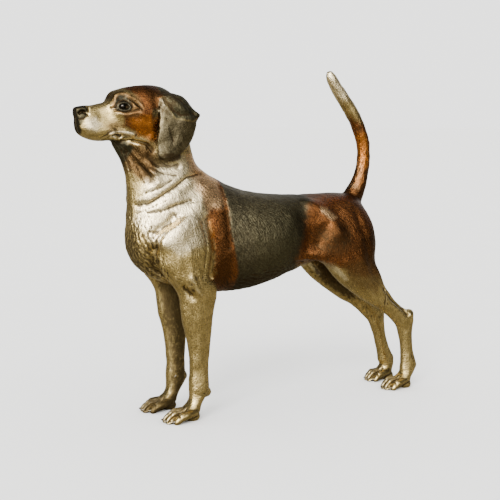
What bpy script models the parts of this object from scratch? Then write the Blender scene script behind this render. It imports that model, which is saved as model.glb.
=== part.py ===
# A standing hound, cast in bronze as one piece, that rests on the flat soles of its four paws.
# The hound looks along -X with its left side towards -Y, and the ground is z = 0.
# The figure is written in shares of its height at the withers, so one length sets its size.
import math

import bmesh
import bpy
import numpy as np
from mathutils import Matrix, Vector

# The driving dimension, in metres: the height at the withers sets the size of the figure.
WITHERS_HEIGHT = 0.60

# The clay that the figure is worked in: its grain, and how deep it is smoothed on the body.
CLAY_CELL = 0.005 * WITHERS_HEIGHT
SMOOTHING_DEPTH = 0.0183 * WITHERS_HEIGHT

# Facets of the finished casting, and how far they are spared on the face and the paws.
CAST_TRIANGLES = 9400
DETAIL_WEIGHT = 0.006
DETAIL_SPARED = 0.5

# How much of the smoothing reaches each part: by height on the legs and body, then three parts.
SOFTNESS_BY_HEIGHT = ((0.04, 0.04), (0.12, 0.22), (0.45, 0.40), (0.60, 1.00))
HEAD_SOFTNESS = 0.08
EAR_SOFTNESS = 0.04
TAIL_SOFTNESS = 0.25

# Everything below is in shares of the withers height. Tracks run from the middle plane to a limb.
FORE_TRACK = 0.103
HIND_TRACK = 0.088
EAR_THICKNESS = 0.017
RIGHT_FORE_SHIFT = -0.010

SIDES = {"left": -1.0, "right": 1.0}
UP = Vector((0.0, 0.0, 1.0))
ACROSS = Vector((0.0, 1.0, 0.0))

# Trunk slices across X: x, top, bottom, half width, and how much wider the top is than the bottom.
TRUNK = (
    (-0.174, 0.800, 0.715, 0.040, 0.00),
    (-0.158, 0.850, 0.664, 0.080, 0.00),
    (-0.108, 0.920, 0.610, 0.112, 0.05),
    (-0.030, 0.960, 0.566, 0.130, 0.05),
    (0.060, 0.985, 0.536, 0.140, 0.02),
    (0.150, 0.992, 0.518, 0.146, 0.00),
    (0.230, 0.976, 0.510, 0.154, -0.02),
    (0.330, 0.942, 0.512, 0.162, -0.04),
    (0.430, 0.924, 0.530, 0.160, -0.04),
    (0.540, 0.913, 0.564, 0.148, 0.00),
    (0.650, 0.909, 0.598, 0.132, 0.05),
    (0.760, 0.911, 0.628, 0.124, 0.10),
    (0.850, 0.908, 0.660, 0.114, 0.10),
    (0.915, 0.888, 0.700, 0.092, 0.05),
    (0.958, 0.842, 0.750, 0.058, 0.00),
)

# Neck slices from the jaw down into the chest: front x and z, back x and z, half width, back flare.
NECK = (
    (-0.150, 1.230, 0.010, 1.290, 0.060, 0.00),
    (-0.244, 1.152, 0.062, 1.225, 0.074, 0.40),
    (-0.232, 1.112, 0.088, 1.160, 0.080, 0.40),
    (-0.208, 1.070, 0.100, 1.100, 0.087, 0.30),
    (-0.188, 1.020, 0.126, 1.045, 0.094, 0.15),
    (-0.180, 0.955, 0.178, 1.008, 0.106, 0.05),
    (-0.178, 0.890, 0.225, 0.984, 0.118, 0.00),
    (-0.178, 0.800, 0.275, 0.945, 0.130, 0.00),
    (-0.140, 0.700, 0.300, 0.860, 0.124, 0.00),
)

# Head slices across X, nose first: x, top, bottom, half width, and how much wider the top is.
HEAD = (
    (-0.394, 1.258, 1.204, 0.018, 0.00),
    (-0.387, 1.276, 1.182, 0.033, -0.10),
    (-0.364, 1.284, 1.164, 0.044, -0.22),
    (-0.330, 1.290, 1.152, 0.049, -0.26),
    (-0.295, 1.297, 1.148, 0.052, -0.24),
    (-0.272, 1.304, 1.149, 0.055, -0.14),
    (-0.257, 1.322, 1.150, 0.060, -0.06),
    (-0.242, 1.345, 1.152, 0.064, -0.02),
    (-0.216, 1.355, 1.152, 0.071, 0.00),
    (-0.170, 1.366, 1.148, 0.081, 0.02),
    (-0.110, 1.373, 1.144, 0.087, 0.02),
    (-0.050, 1.368, 1.150, 0.085, 0.05),
    (-0.010, 1.353, 1.170, 0.078, 0.05),
    (0.020, 1.328, 1.195, 0.060, 0.00),
    (0.038, 1.290, 1.225, 0.030, 0.00),
)

# The squared nose leather, the same way round.
NOSE = (
    (-0.400, 1.273, 1.250, 0.014, 0.00),
    (-0.396, 1.281, 1.243, 0.024, 0.00),
    (-0.376, 1.286, 1.238, 0.029, 0.00),
    (-0.350, 1.289, 1.238, 0.030, 0.00),
    (-0.330, 1.288, 1.250, 0.026, 0.00),
)

# Arm and foreleg slices, level: z, front x, back x, share of the track, half width.
FORELEG = (
    (0.860, 0.020, 0.100, 0.85, 0.040),
    (0.810, -0.056, 0.118, 1.03, 0.050),
    (0.760, -0.098, 0.126, 1.11, 0.054),
    (0.720, -0.103, 0.136, 1.15, 0.055),
    (0.680, -0.099, 0.134, 1.17, 0.055),
    (0.640, -0.092, 0.126, 1.17, 0.054),
    (0.600, -0.066, 0.124, 1.17, 0.053),
    (0.560, -0.032, 0.146, 1.16, 0.052),
    (0.520, -0.008, 0.160, 1.13, 0.049),
    (0.470, 0.000, 0.151, 1.09, 0.045),
    (0.410, 0.009, 0.144, 1.06, 0.041),
    (0.350, 0.028, 0.139, 1.03, 0.038),
    (0.290, 0.039, 0.132, 1.01, 0.035),
    (0.210, 0.046, 0.127, 0.99, 0.034),
    (0.165, 0.043, 0.127, 0.99, 0.036),
    (0.125, 0.043, 0.128, 0.99, 0.037),
    (0.092, 0.043, 0.110, 0.99, 0.034),
    (0.068, 0.030, 0.094, 0.99, 0.035),
    (0.050, 0.006, 0.088, 1.00, 0.038),
    (0.034, -0.010, 0.085, 1.00, 0.040),
)

# Hind leg slices, level: z, front x, back x, share of the track, half width.
HIND_LEG = (
    (0.880, 0.760, 0.900, 0.60, 0.040),
    (0.820, 0.690, 0.942, 0.85, 0.056),
    (0.760, 0.660, 0.962, 1.02, 0.064),
    (0.700, 0.650, 0.969, 1.14, 0.066),
    (0.640, 0.675, 0.962, 1.22, 0.064),
    (0.600, 0.704, 0.963, 1.24, 0.060),
    (0.560, 0.738, 0.986, 1.24, 0.054),
    (0.520, 0.778, 1.007, 1.21, 0.047),
    (0.480, 0.832, 1.030, 1.17, 0.041),
    (0.440, 0.892, 1.066, 1.13, 0.035),
    (0.405, 0.952, 1.100, 1.08, 0.031),
    (0.375, 1.010, 1.140, 1.05, 0.029),
    (0.345, 1.052, 1.190, 1.04, 0.029),
    (0.315, 1.086, 1.202, 1.03, 0.029),
    (0.285, 1.112, 1.198, 1.00, 0.028),
    (0.250, 1.124, 1.195, 1.00, 0.027),
    (0.210, 1.134, 1.196, 1.00, 0.026),
    (0.165, 1.138, 1.203, 1.00, 0.026),
    (0.125, 1.139, 1.215, 1.00, 0.027),
    (0.095, 1.136, 1.220, 1.00, 0.029),
    (0.070, 1.136, 1.206, 1.00, 0.031),
    (0.050, 1.112, 1.190, 1.00, 0.035),
    (0.034, 1.094, 1.186, 1.00, 0.038),
)

# The right hind leg stands a little apart from the left: height, and shift towards the tail.
RIGHT_HIND_SHIFT = (
    (0.00, 0.030),
    (0.06, 0.020),
    (0.10, 0.000),
    (0.15, -0.010),
    (0.20, -0.020),
    (0.31, -0.036),
    (0.40, -0.030),
    (0.45, -0.020),
    (0.57, -0.012),
    (0.72, 0.000),
)

# Tail stations from inside the rump to the tip: x, z, radius.
TAIL = (
    (0.880, 0.835, 0.046),
    (0.916, 0.885, 0.046),
    (0.947, 0.941, 0.038),
    (0.966, 1.000, 0.031),
    (0.974, 1.058, 0.030),
    (0.972, 1.115, 0.030),
    (0.959, 1.165, 0.031),
    (0.937, 1.216, 0.030),
    (0.900, 1.272, 0.030),
    (0.861, 1.324, 0.029),
    (0.818, 1.380, 0.026),
    (0.794, 1.420, 0.022),
    (0.783, 1.443, 0.012),
)

# Ear slices, level, from the root down: z, front x, back x, y at the front, middle and back.
EAR = (
    (1.338, -0.050, 0.000, 0.060, 0.066, 0.058),
    (1.326, -0.078, 0.032, 0.076, 0.090, 0.078),
    (1.302, -0.078, 0.053, 0.087, 0.109, 0.088),
    (1.276, -0.079, 0.071, 0.092, 0.117, 0.097),
    (1.250, -0.081, 0.101, 0.095, 0.120, 0.102),
    (1.225, -0.084, 0.085, 0.097, 0.120, 0.104),
    (1.200, -0.088, 0.078, 0.099, 0.118, 0.105),
    (1.150, -0.096, 0.060, 0.101, 0.115, 0.105),
    (1.110, -0.094, 0.024, 0.102, 0.113, 0.106),
    (1.085, -0.090, -0.014, 0.104, 0.111, 0.106),
    (1.073, -0.078, -0.044, 0.105, 0.109, 0.106),
)

# Toe paths: outward shift from the track, then x at the knuckle, the arch and the tip, and radius.
FORE_TOES = (
    (-0.040, 0.012, -0.016, -0.041, 0.0145),
    (-0.013, 0.002, -0.038, -0.063, 0.0155),
    (0.015, 0.002, -0.036, -0.061, 0.0155),
    (0.041, 0.014, -0.014, -0.037, 0.0145),
)
HIND_TOES = (
    (-0.036, 1.104, 1.086, 1.068, 0.0130),
    (-0.012, 1.092, 1.068, 1.048, 0.0140),
    (0.012, 1.092, 1.070, 1.050, 0.0140),
    (0.036, 1.106, 1.088, 1.070, 0.0130),
)

# A toe from its root to its claw: height, and girth as a share of its radius.
TOE_PROFILE = ((0.036, 1.10), (0.032, 1.10), (0.025, 1.15), (0.009, 1.00), (0.006, 0.55))
TOE_ROOT_BACK = 0.045
TOE_ROOT_SPREAD = 0.6
CLAW_REACH = 0.7

# The pads of a paw: how far in front of the heel, the height, and the radii.
HEEL_PAD = (0.000, 0.016, (0.034, 0.035, 0.026))
SOLE_PAD = (0.052, 0.022, (0.036, 0.042, 0.024))
FORE_HEEL_X = 0.052
HIND_HEEL_X = 1.156

# Bony points of each side: x, share of the track, z, and the radii.
ELBOW = (0.142, 1.13, 0.545, (0.022, 0.026, 0.034))
CARPAL_PAD = (0.117, 0.99, 0.110, (0.024, 0.021, 0.023))
RIGHT_CARPAL_RISE = 0.028
HOCK_POINT = (1.174, 1.05, 0.340, (0.028, 0.024, 0.026))
HIND_HEEL = (1.207, 1.00, 0.100, (0.018, 0.020, 0.020))

# The fold of the flank, from the belly to the thigh: x, share of the hind track, z, radius.
FLANK_FOLD = (
    (0.520, 1.14, 0.670, 0.034),
    (0.600, 1.23, 0.665, 0.032),
    (0.670, 1.27, 0.655, 0.032),
    (0.740, 1.25, 0.615, 0.034),
)

# The sheath under the belly: its centre, radii and tilt in degrees.
SHEATH = ((0.645, 0.0, 0.603), (0.040, 0.024, 0.018), 12.0)

# The block that cuts the soles level: length, width and depth.
GROUND_BLOCK = (4.0, 2.0, 0.3)

# A stroke on a side view works only on clay that faces that side: from nothing to all of it.
SIDE_FACING = (0.15, 0.65)

# Modelling strokes, drawn as on a side view and worked into both sides: x and z along the path,
# then the reach, how far it raises or cuts the clay, and the least distance from the middle plane.
STROKES = {
    "front of the arm": (
        ((-0.030, 0.850), (-0.050, 0.825), (-0.099, 0.796), (-0.112, 0.759), (-0.111, 0.719)),
        0.015,
        -0.012,
        0.06,
    ),
    "arm against the brisket": (
        ((-0.111, 0.719), (-0.106, 0.679), (-0.100, 0.639), (-0.071, 0.600), (-0.031, 0.551)),
        0.015,
        -0.012,
        0.06,
    ),
    "back of the arm": (
        ((0.112, 0.830), (0.124, 0.790), (0.138, 0.748), (0.148, 0.707), (0.145, 0.658), (0.136, 0.600)),
        0.017,
        -0.014,
        0.06,
    ),
    "shoulder ridge": (
        ((-0.080, 0.752), (-0.023, 0.790), (0.035, 0.832), (0.080, 0.880)),
        0.036,
        0.010,
        0.06,
    ),
    "edge of the shoulder blade": (
        ((0.194, 0.955), (0.198, 0.867), (0.204, 0.785), (0.206, 0.715)),
        0.011,
        -0.007,
        0.05,
    ),
    "long neck fold": (
        ((0.120, 1.012), (0.051, 1.003), (0.006, 0.976), (-0.048, 0.943), (-0.110, 0.903), (-0.155, 0.893)),
        0.012,
        -0.008,
        0.03,
    ),
    "short neck fold": (
        ((0.072, 0.919), (0.027, 0.900), (-0.004, 0.890), (-0.039, 0.883)),
        0.014,
        -0.005,
        0.05,
    ),
    "hollow of the neck": (
        ((0.065, 0.955), (0.030, 0.935)),
        0.030,
        -0.008,
        0.05,
    ),
    "throat fold": (
        ((-0.198, 1.100), (-0.190, 1.055), (-0.189, 0.996), (-0.184, 0.944)),
        0.009,
        -0.007,
        0.025,
    ),
    "hollow of the throat": (
        ((-0.180, 1.110), (-0.152, 1.062), (-0.130, 1.022), (-0.116, 0.990)),
        0.018,
        -0.009,
        0.03,
    ),
    "neck strap": (
        ((-0.150, 1.130), (-0.125, 1.085), (-0.095, 1.035), (-0.085, 0.985)),
        0.018,
        0.007,
        0.04,
    ),
    "brisket edge": (
        ((-0.142, 0.633), (-0.112, 0.611), (-0.068, 0.583)),
        0.009,
        -0.006,
        0.02,
    ),
    "elbow notch": (
        ((-0.006, 0.565), (0.014, 0.535), (0.034, 0.518)),
        0.013,
        -0.009,
        0.12,
    ),
    "elbow cord": (
        ((0.022, 0.600), (0.042, 0.566), (0.064, 0.534)),
        0.011,
        0.007,
        0.12,
    ),
    "forearm cord": (
        ((-0.040, 0.600), (-0.014, 0.556)),
        0.011,
        0.005,
        0.12,
    ),
    "hip": (
        ((0.648, 0.850), (0.699, 0.822), (0.736, 0.790), (0.750, 0.734), (0.752, 0.680)),
        0.032,
        0.013,
        0.06,
    ),
    "flank hollow": (
        ((0.590, 0.800), (0.622, 0.740), (0.608, 0.685)),
        0.050,
        -0.016,
        0.06,
    ),
    "hamstring groove": (
        ((0.850, 0.820), (0.880, 0.720), (0.900, 0.620), (0.945, 0.530)),
        0.018,
        -0.005,
        0.06,
    ),
    "hock tendon groove": (
        ((1.010, 0.478), (1.060, 0.425), (1.110, 0.385), (1.150, 0.345)),
        0.010,
        -0.007,
        0.04,
    ),
    "brow": (
        ((-0.252, 1.318), (-0.232, 1.333), (-0.200, 1.336)),
        0.020,
        0.007,
        0.02,
    ),
    "eye socket": (
        ((-0.236, 1.288), (-0.200, 1.290)),
        0.016,
        -0.018,
        0.03,
    ),
    "eyeball": (
        ((-0.224, 1.289), (-0.212, 1.289)),
        0.011,
        0.018,
        0.03,
    ),
    "upper lid": (
        ((-0.254, 1.284), (-0.242, 1.306), (-0.218, 1.315), (-0.194, 1.306), (-0.178, 1.286)),
        0.008,
        0.008,
        0.03,
    ),
    "lower lid": (
        ((-0.250, 1.278), (-0.234, 1.266), (-0.212, 1.263), (-0.190, 1.274)),
        0.008,
        0.007,
        0.03,
    ),
    "cheekbone": (
        ((-0.215, 1.258), (-0.165, 1.262), (-0.110, 1.262)),
        0.024,
        0.006,
        0.03,
    ),
    "cheek": (
        ((-0.150, 1.210), (-0.120, 1.200)),
        0.040,
        0.008,
        0.03,
    ),
    "flews": (
        ((-0.350, 1.200), (-0.310, 1.180), (-0.270, 1.186)),
        0.024,
        0.005,
        0.02,
    ),
    "side of the muzzle": (
        ((-0.300, 1.250), (-0.260, 1.245), (-0.235, 1.225)),
        0.020,
        -0.004,
        0.02,
    ),
    "mouth": (
        ((-0.300, 1.150), (-0.268, 1.156), (-0.247, 1.170), (-0.226, 1.173), (-0.210, 1.164)),
        0.010,
        -0.010,
        0.02,
    ),
    "upper lip": (
        ((-0.268, 1.174), (-0.246, 1.188), (-0.215, 1.186), (-0.180, 1.172)),
        0.010,
        0.005,
        0.02,
    ),
    "lower lip": (
        ((-0.240, 1.155), (-0.215, 1.152), (-0.185, 1.154)),
        0.009,
        0.006,
        0.02,
    ),
    "jaw line": (
        ((-0.185, 1.140), (-0.145, 1.136), (-0.105, 1.128)),
        0.010,
        -0.008,
        0.03,
    ),
    "nostril": (
        ((-0.381, 1.262), (-0.372, 1.265), (-0.364, 1.262)),
        0.006,
        -0.008,
        0.008,
    ),
    "ear dish": (
        ((-0.020, 1.230), (-0.030, 1.160)),
        0.030,
        -0.005,
        0.09,
    ),
    "ear fold": (
        ((-0.060, 1.320), (-0.035, 1.275), (0.000, 1.250), (0.060, 1.256)),
        0.011,
        -0.006,
        0.08,
    ),
}

# Strokes along the middle plane: x and z along the path, the reach, and the rise or cut.
MIDDLE_STROKES = {
    "furrow of the forehead": (((-0.250, 1.345), (-0.200, 1.362), (-0.130, 1.376)), 0.016, -0.006),
    "cleft of the lip": (((-0.392, 1.240), (-0.395, 1.200), (-0.385, 1.180)), 0.007, -0.006),
    "furrow of the back": (((0.300, 0.945), (0.600, 0.910), (0.800, 0.910)), 0.020, -0.004),
}


def smooth_stations(rows, steps=4):
    """Rows between the given ones, on a Catmull-Rom curve through each column."""
    rows = np.array(rows, float)
    ends = np.vstack((2 * rows[0] - rows[1], rows, 2 * rows[-1] - rows[-2]))
    made = []
    for first, start, end, last in zip(ends, ends[1:], ends[2:], ends[3:]):
        for t in np.arange(steps) / steps:
            rise = (end - first) * t
            bend = (2 * first - 5 * start + 4 * end - last) * t**2
            twist = (3 * start - first - 3 * end + last) * t**3
            made.append((2 * start + rise + bend + twist) / 2)
    made.append(rows[-1])
    return made


def oval(centre, along, across, widening=0.0, power=2.0, count=28):
    """Points round a closed oval. It is wider by widening at the end that along points to."""
    points = []
    for step in range(count):
        angle = 2 * math.pi * step / count
        c = math.cos(angle)
        s = math.sin(angle)
        c = math.copysign(abs(c) ** (2 / power), c)
        s = math.copysign(abs(s) ** (2 / power), s)
        points.append(centre + along * c + across * (s * (1 + widening * c)))
    return points


def loft(slices):
    """A closed shell through the slices, in shares of the withers height, scaled to metres."""
    shell = bmesh.new()
    rings = [[shell.verts.new(p * WITHERS_HEIGHT) for p in ring] for ring in slices]
    for ring, after in zip(rings, rings[1:]):
        for i in range(len(ring)):
            j = (i + 1) % len(ring)
            shell.faces.new((ring[i], ring[j], after[j], after[i]))
    shell.faces.new(rings[0])
    shell.faces.new(rings[-1])
    bmesh.ops.recalc_face_normals(shell, faces=shell.faces)
    return shell


def lump(centre, radii, tilt=0.0):
    """An ellipsoid of muscle or bone, tilted about Y in degrees."""
    shell = bmesh.new()
    place = Matrix.Translation(Vector(centre) * WITHERS_HEIGHT)
    place = place @ Matrix.Rotation(math.radians(tilt), 4, "Y")
    place = place @ Matrix.Diagonal((*(r * WITHERS_HEIGHT for r in radii), 1.0))
    bmesh.ops.create_icosphere(shell, subdivisions=3, radius=1.0, matrix=place)
    return shell


def cord_of(stations):
    """A round limb through stations of x, y, z and radius."""
    rows = smooth_stations(stations)
    slices = []
    for i, row in enumerate(rows):
        along = Vector((rows[min(i + 1, len(rows) - 1)] - rows[max(i - 1, 0)])[:3]).normalized()
        side = along.cross(ACROSS if abs(along.y) < 0.9 else UP).normalized()
        slices.append(oval(Vector(row[:3]), side * row[3], along.cross(side) * row[3], count=16))
    return loft(slices)


def upright_slices(rows, power):
    """A body loft from rows of x, top, bottom, half width and widening."""
    slices = []
    for x, top, bottom, half_width, widening in smooth_stations(rows):
        centre = Vector((x, 0.0, (top + bottom) / 2))
        slices.append(oval(centre, UP * (top - bottom) / 2, ACROSS * half_width, widening, power, 36))
    return loft(slices)


def neck():
    slices = []
    for front_x, front_z, back_x, back_z, half_width, flare in smooth_stations(NECK):
        front = Vector((front_x, 0.0, front_z))
        back = Vector((back_x, 0.0, back_z))
        slices.append(oval((front + back) / 2, (back - front) / 2, ACROSS * half_width, flare, 2.1, 36))
    return loft(slices)


def level_leg(rows):
    """A leg from level slices: z, front x, back x, y, half width."""
    slices = []
    for z, front, back, y, half_width in smooth_stations(rows):
        centre = Vector(((front + back) / 2, y, z))
        along = Vector(((back - front) / 2, 0.0, 0.0))
        slices.append(oval(centre, along, ACROSS * half_width, power=2.2))
    return loft(slices)


def fore_shift(side):
    return RIGHT_FORE_SHIFT if side > 0 else 0.0


def hind_shift(side, z):
    """How far back the hind leg of this side stands at this height."""
    heights, shifts = zip(*RIGHT_HIND_SHIFT)
    return float(np.interp(z, heights, shifts)) if side > 0 else 0.0


def foreleg(side):
    low = fore_shift(side)
    rows = []
    for z, front, back, out, half_width in FORELEG:
        shift = low * float(np.interp(z, (0.3, 0.6), (1.0, 0.0)))
        rows.append((z, front + shift, back + shift, side * FORE_TRACK * out, half_width))
    return level_leg(rows)


def hind_leg(side):
    rows = []
    for z, front, back, out, half_width in HIND_LEG:
        shift = hind_shift(side, z)
        rows.append((z, front + shift, back + shift, side * HIND_TRACK * out, half_width))
    return level_leg(rows)


def tail():
    return cord_of([(x, 0.0, z, radius) for x, z, radius in TAIL])


def ear(side):
    """A hanging leaf of even thickness that bows outward, from level slices."""
    steps = 10
    there = [i / steps for i in range(steps + 1)]
    back_again = there[-2:0:-1]
    slices = []
    for z, front, back, y_front, y_middle, y_back in smooth_stations(EAR):
        ring = []
        pull = 2 * y_middle - (y_front + y_back) / 2
        for face, shares in ((1.0, there), (-1.0, back_again)):
            for t in shares:
                y = (1 - t) ** 2 * y_front + 2 * t * (1 - t) * pull + t**2 * y_back
                edge = math.sqrt(1 - (2 * t - 1) ** 4)
                y += face * edge * EAR_THICKNESS / 2
                ring.append(Vector((front + (back - front) * t, side * y, z)))
        slices.append(ring)
    return loft(slices)


def paw(side, track, toes, heel_x, shift):
    """Four arched toes on two pads. Their undersides are cut level once the clay is one skin."""
    shells = []
    for out, knuckle, arch, tip, radius in toes:
        y = side * (track + out)
        y_root = side * (track + TOE_ROOT_SPREAD * out)
        along = (knuckle + TOE_ROOT_BACK, knuckle, arch, tip, tip - CLAW_REACH * radius)
        sideways = (y_root, y, y, y, y)
        stations = []
        for x, y_here, (z, girth) in zip(along, sideways, TOE_PROFILE):
            stations.append((x + shift, y_here, z, radius * girth))
        shells.append(cord_of(stations))
    for ahead, z, radii in (HEEL_PAD, SOLE_PAD):
        shells.append(lump((heel_x + shift - ahead, side * track, z), radii))
    return shells


def bony_point(point, side, track, shift=0.0, rise=0.0):
    x, out, z, radii = point
    return lump((x + shift, side * track * out, z + rise), radii)


def muscles(side):
    """Masses of one side that stand proud of the trunk and legs."""
    hock = hind_shift(side, HOCK_POINT[2])
    pastern = hind_shift(side, HIND_HEEL[2])
    carpal_rise = RIGHT_CARPAL_RISE if side > 0 else 0.0
    flank_fold = [(x, side * HIND_TRACK * out, z, radius) for x, out, z, radius in FLANK_FOLD]
    return [
        cord_of(flank_fold),
        bony_point(ELBOW, side, FORE_TRACK),
        bony_point(CARPAL_PAD, side, FORE_TRACK, fore_shift(side), carpal_rise),
        bony_point(HOCK_POINT, side, HIND_TRACK, hock),
        bony_point(HIND_HEEL, side, HIND_TRACK, pastern),
    ]


def clay_shells():
    shells = [
        upright_slices(TRUNK, 2.2),
        upright_slices(HEAD, 2.3),
        upright_slices(NOSE, 3.0),
        neck(),
        tail(),
        lump(*SHEATH),
    ]
    for side in SIDES.values():
        shells += [foreleg(side), hind_leg(side), ear(side)]
        shells += muscles(side)
        shells += paw(side, FORE_TRACK, FORE_TOES, FORE_HEEL_X, fore_shift(side))
        shells += paw(side, HIND_TRACK, HIND_TOES, HIND_HEEL_X, hind_shift(side, 0.0))
    return shells


def joined_mesh(name, shells):
    """One mesh of all the shells, still overlapping each other."""
    whole = bmesh.new()
    for shell in shells:
        part = bpy.data.meshes.new("shell")
        shell.to_mesh(part)
        shell.free()
        whole.from_mesh(part)
        bpy.data.meshes.remove(part)
    mesh = bpy.data.meshes.new(name)
    whole.to_mesh(mesh)
    whole.free()
    return mesh


def placed(name, mesh):
    obj = bpy.data.objects.new(name, mesh)
    bpy.context.scene.collection.objects.link(obj)
    return obj


def evaluated_mesh(obj):
    """The object's mesh with its modifiers applied. The object is removed."""
    graph = bpy.context.evaluated_depsgraph_get()
    mesh = bpy.data.meshes.new_from_object(obj.evaluated_get(graph))
    bpy.data.objects.remove(obj)
    return mesh


def points_of(mesh):
    points = np.empty(len(mesh.vertices) * 3)
    mesh.vertices.foreach_get("co", points)
    return points.reshape(-1, 3)


def normals_of(mesh):
    normals = np.empty(len(mesh.vertices) * 3)
    mesh.vertex_normals.foreach_get("vector", normals)
    return normals.reshape(-1, 3)


def softness(points):
    """How much the clay is smoothed at each point: broad on the body, little on face and paws."""
    x, y, z = (points / WITHERS_HEIGHT).T
    soft = np.interp(z, *zip(*SOFTNESS_BY_HEIGHT))
    head_line = 1.13 + 0.5 * np.clip(x + 0.15, 0.0, 0.3)
    in_head = np.clip((z - head_line) / 0.05, 0, 1) * (x < 0.3)
    soft = soft * (1 - in_head) + HEAD_SOFTNESS * in_head
    in_ear = (x > -0.11) & (x < 0.12) & (np.abs(y) > 0.084) & (z > 1.05)
    soft = np.where(in_ear, EAR_SOFTNESS, soft)
    in_tail = np.clip((z - 0.93) / 0.04, 0, 1) * (x > 0.6)
    return soft * (1 - in_tail) + TAIL_SOFTNESS * in_tail


def fused_clay(shells):
    """The shells made one skin by a voxel remesh, then smoothed as the softness says."""
    obj = placed("clay", joined_mesh("clay", shells))
    remesh = obj.modifiers.new("one skin", "REMESH")
    remesh.mode = "VOXEL"
    remesh.voxel_size = CLAY_CELL
    obj = placed("clay", evaluated_mesh(obj))
    group = obj.vertex_groups.new(name="soft")
    levels = np.round(softness(points_of(obj.data)), 2)
    for level in np.unique(levels):
        group.add(np.flatnonzero(levels == level).tolist(), float(level), "REPLACE")
    smooth = obj.modifiers.new("thumbed", "SMOOTH")
    smooth.factor = 0.5
    smooth.iterations = round(4 * (SMOOTHING_DEPTH / CLAY_CELL) ** 2)
    smooth.vertex_group = "soft"
    return evaluated_mesh(obj)


def distance_to_path(points, path):
    """The least distance of flat points from a path of straight pieces."""
    nearest = np.full(len(points), np.inf)
    for start, end in zip(np.array(path), np.array(path)[1:]):
        along = end - start
        share = np.clip((points - start) @ along / (along @ along), 0, 1)
        nearest = np.minimum(nearest, np.linalg.norm(points - start - share[:, None] * along, axis=1))
    return nearest


def stroke_rise(points, path, reach, rise, mask):
    """How far each point moves for one stroke, fading with distance from the path."""
    fade = np.zeros(len(points))
    near = np.flatnonzero(mask)
    distance = distance_to_path(points[near][:, (0, 2)], path)
    fade[near] = np.exp(-((distance / reach) ** 2)) * mask[near]
    return rise * fade


def work_strokes(mesh):
    """Every named stroke pushed into the clay or raised from it, along the surface normal."""
    points = points_of(mesh) / WITHERS_HEIGHT
    normals = normals_of(mesh)
    rise = np.zeros(len(points))
    facing = np.interp(np.abs(normals[:, 1]), SIDE_FACING, (0.0, 1.0))
    facing *= normals[:, 1] * points[:, 1] > 0
    for path, reach, height, least_y in STROKES.values():
        rise += stroke_rise(points, path, reach, height, facing * (np.abs(points[:, 1]) > least_y))
    for path, reach, height in MIDDLE_STROKES.values():
        beside = np.exp(-((points[:, 1] / reach) ** 2))
        rise += stroke_rise(points, path, 2 * reach, height, beside)
    moved = (points + normals * rise[:, None]) * WITHERS_HEIGHT
    mesh.vertices.foreach_set("co", moved.ravel())
    mesh.update()


def detail_share(points):
    """Where facets are kept small: 1 on the face and the paws, 0 on the body."""
    x, y, z = (points / WITHERS_HEIGHT).T
    face = np.clip((z - 1.12) / 0.02, 0, 1) * np.clip((-0.08 - x) / 0.04, 0, 1)
    paws = np.clip((0.075 - z) / 0.02, 0, 1)
    return np.maximum(face, paws)


def ground_block():
    """A hidden block below z = 0, wider than the figure. It cuts the paws level."""
    shell = bmesh.new()
    length, width, depth = (share * WITHERS_HEIGHT for share in GROUND_BLOCK)
    place = Matrix.Translation((0.0, 0.0, -depth / 2)) @ Matrix.Diagonal((length, width, depth, 1.0))
    bmesh.ops.create_cube(shell, size=1.0, matrix=place)
    mesh = bpy.data.meshes.new("ground cut")
    shell.to_mesh(mesh)
    shell.free()
    block = placed("ground cut", mesh)
    block.hide_render = True
    block.display_type = "WIRE"
    return block


def bronze():
    material = bpy.data.materials.new("bronze")
    material.use_nodes = True
    shader = material.node_tree.nodes["Principled BSDF"]
    shader.inputs["Base Color"].default_value = (0.45, 0.38, 0.27, 1.0)
    shader.inputs["Metallic"].default_value = 1.0
    shader.inputs["Roughness"].default_value = 0.4
    return material


def cast(mesh):
    """The finished node: few facets, soles cut level, and the origin under its middle."""
    obj = placed("clay", mesh)
    group = obj.vertex_groups.new(name="broad forms")
    levels = np.round(1.0 - DETAIL_SPARED * detail_share(points_of(mesh)), 1)
    for level in np.unique(levels):
        group.add(np.flatnonzero(levels == level).tolist(), float(level), "REPLACE")
    facets = obj.modifiers.new("facets", "DECIMATE")
    facets.ratio = CAST_TRIANGLES / (2 * len(mesh.polygons))
    facets.vertex_group = "broad forms"
    facets.vertex_group_factor = DETAIL_WEIGHT
    mesh = evaluated_mesh(obj)
    points = points_of(mesh)
    middle = (points.min(axis=0) + points.max(axis=0)) / 2
    mesh.transform(Matrix.Translation((-middle[0], -middle[1], 0.0)))
    mesh.polygons.foreach_set("use_smooth", [True] * len(mesh.polygons))
    mesh.materials.append(bronze())
    hound = placed("hound", mesh)
    soles = hound.modifiers.new("level soles", "BOOLEAN")
    soles.operation = "DIFFERENCE"
    soles.solver = "EXACT"
    soles.object = ground_block()
    return middle


def clear_scene():
    for obj in list(bpy.data.objects):
        bpy.data.objects.remove(obj)


def main():
    clear_scene()
    mesh = fused_clay(clay_shells())
    work_strokes(mesh)
    return cast(mesh)


middle_of_casting = main()
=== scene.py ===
# %% [markdown]
# # A standing hound in patinated bronze
# The real thing is one hollow casting. A sculptor built a clay hound, the foundry cast it in bronze, and a
# chaser went over the metal with punches before it was patinated red-brown, near-black and polished
# silver-gold. This lesson follows the same order: clay, modelling strokes, casting, claws, patina, and then
# a studio.

# %% Load the frame
import math

import bmesh
import bpy
import numpy as np
from mathutils import Matrix, Vector
from mathutils.bvhtree import BVHTree
from mathutils.kdtree import KDTree
from mathutils.noise import noise as noise_at


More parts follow.
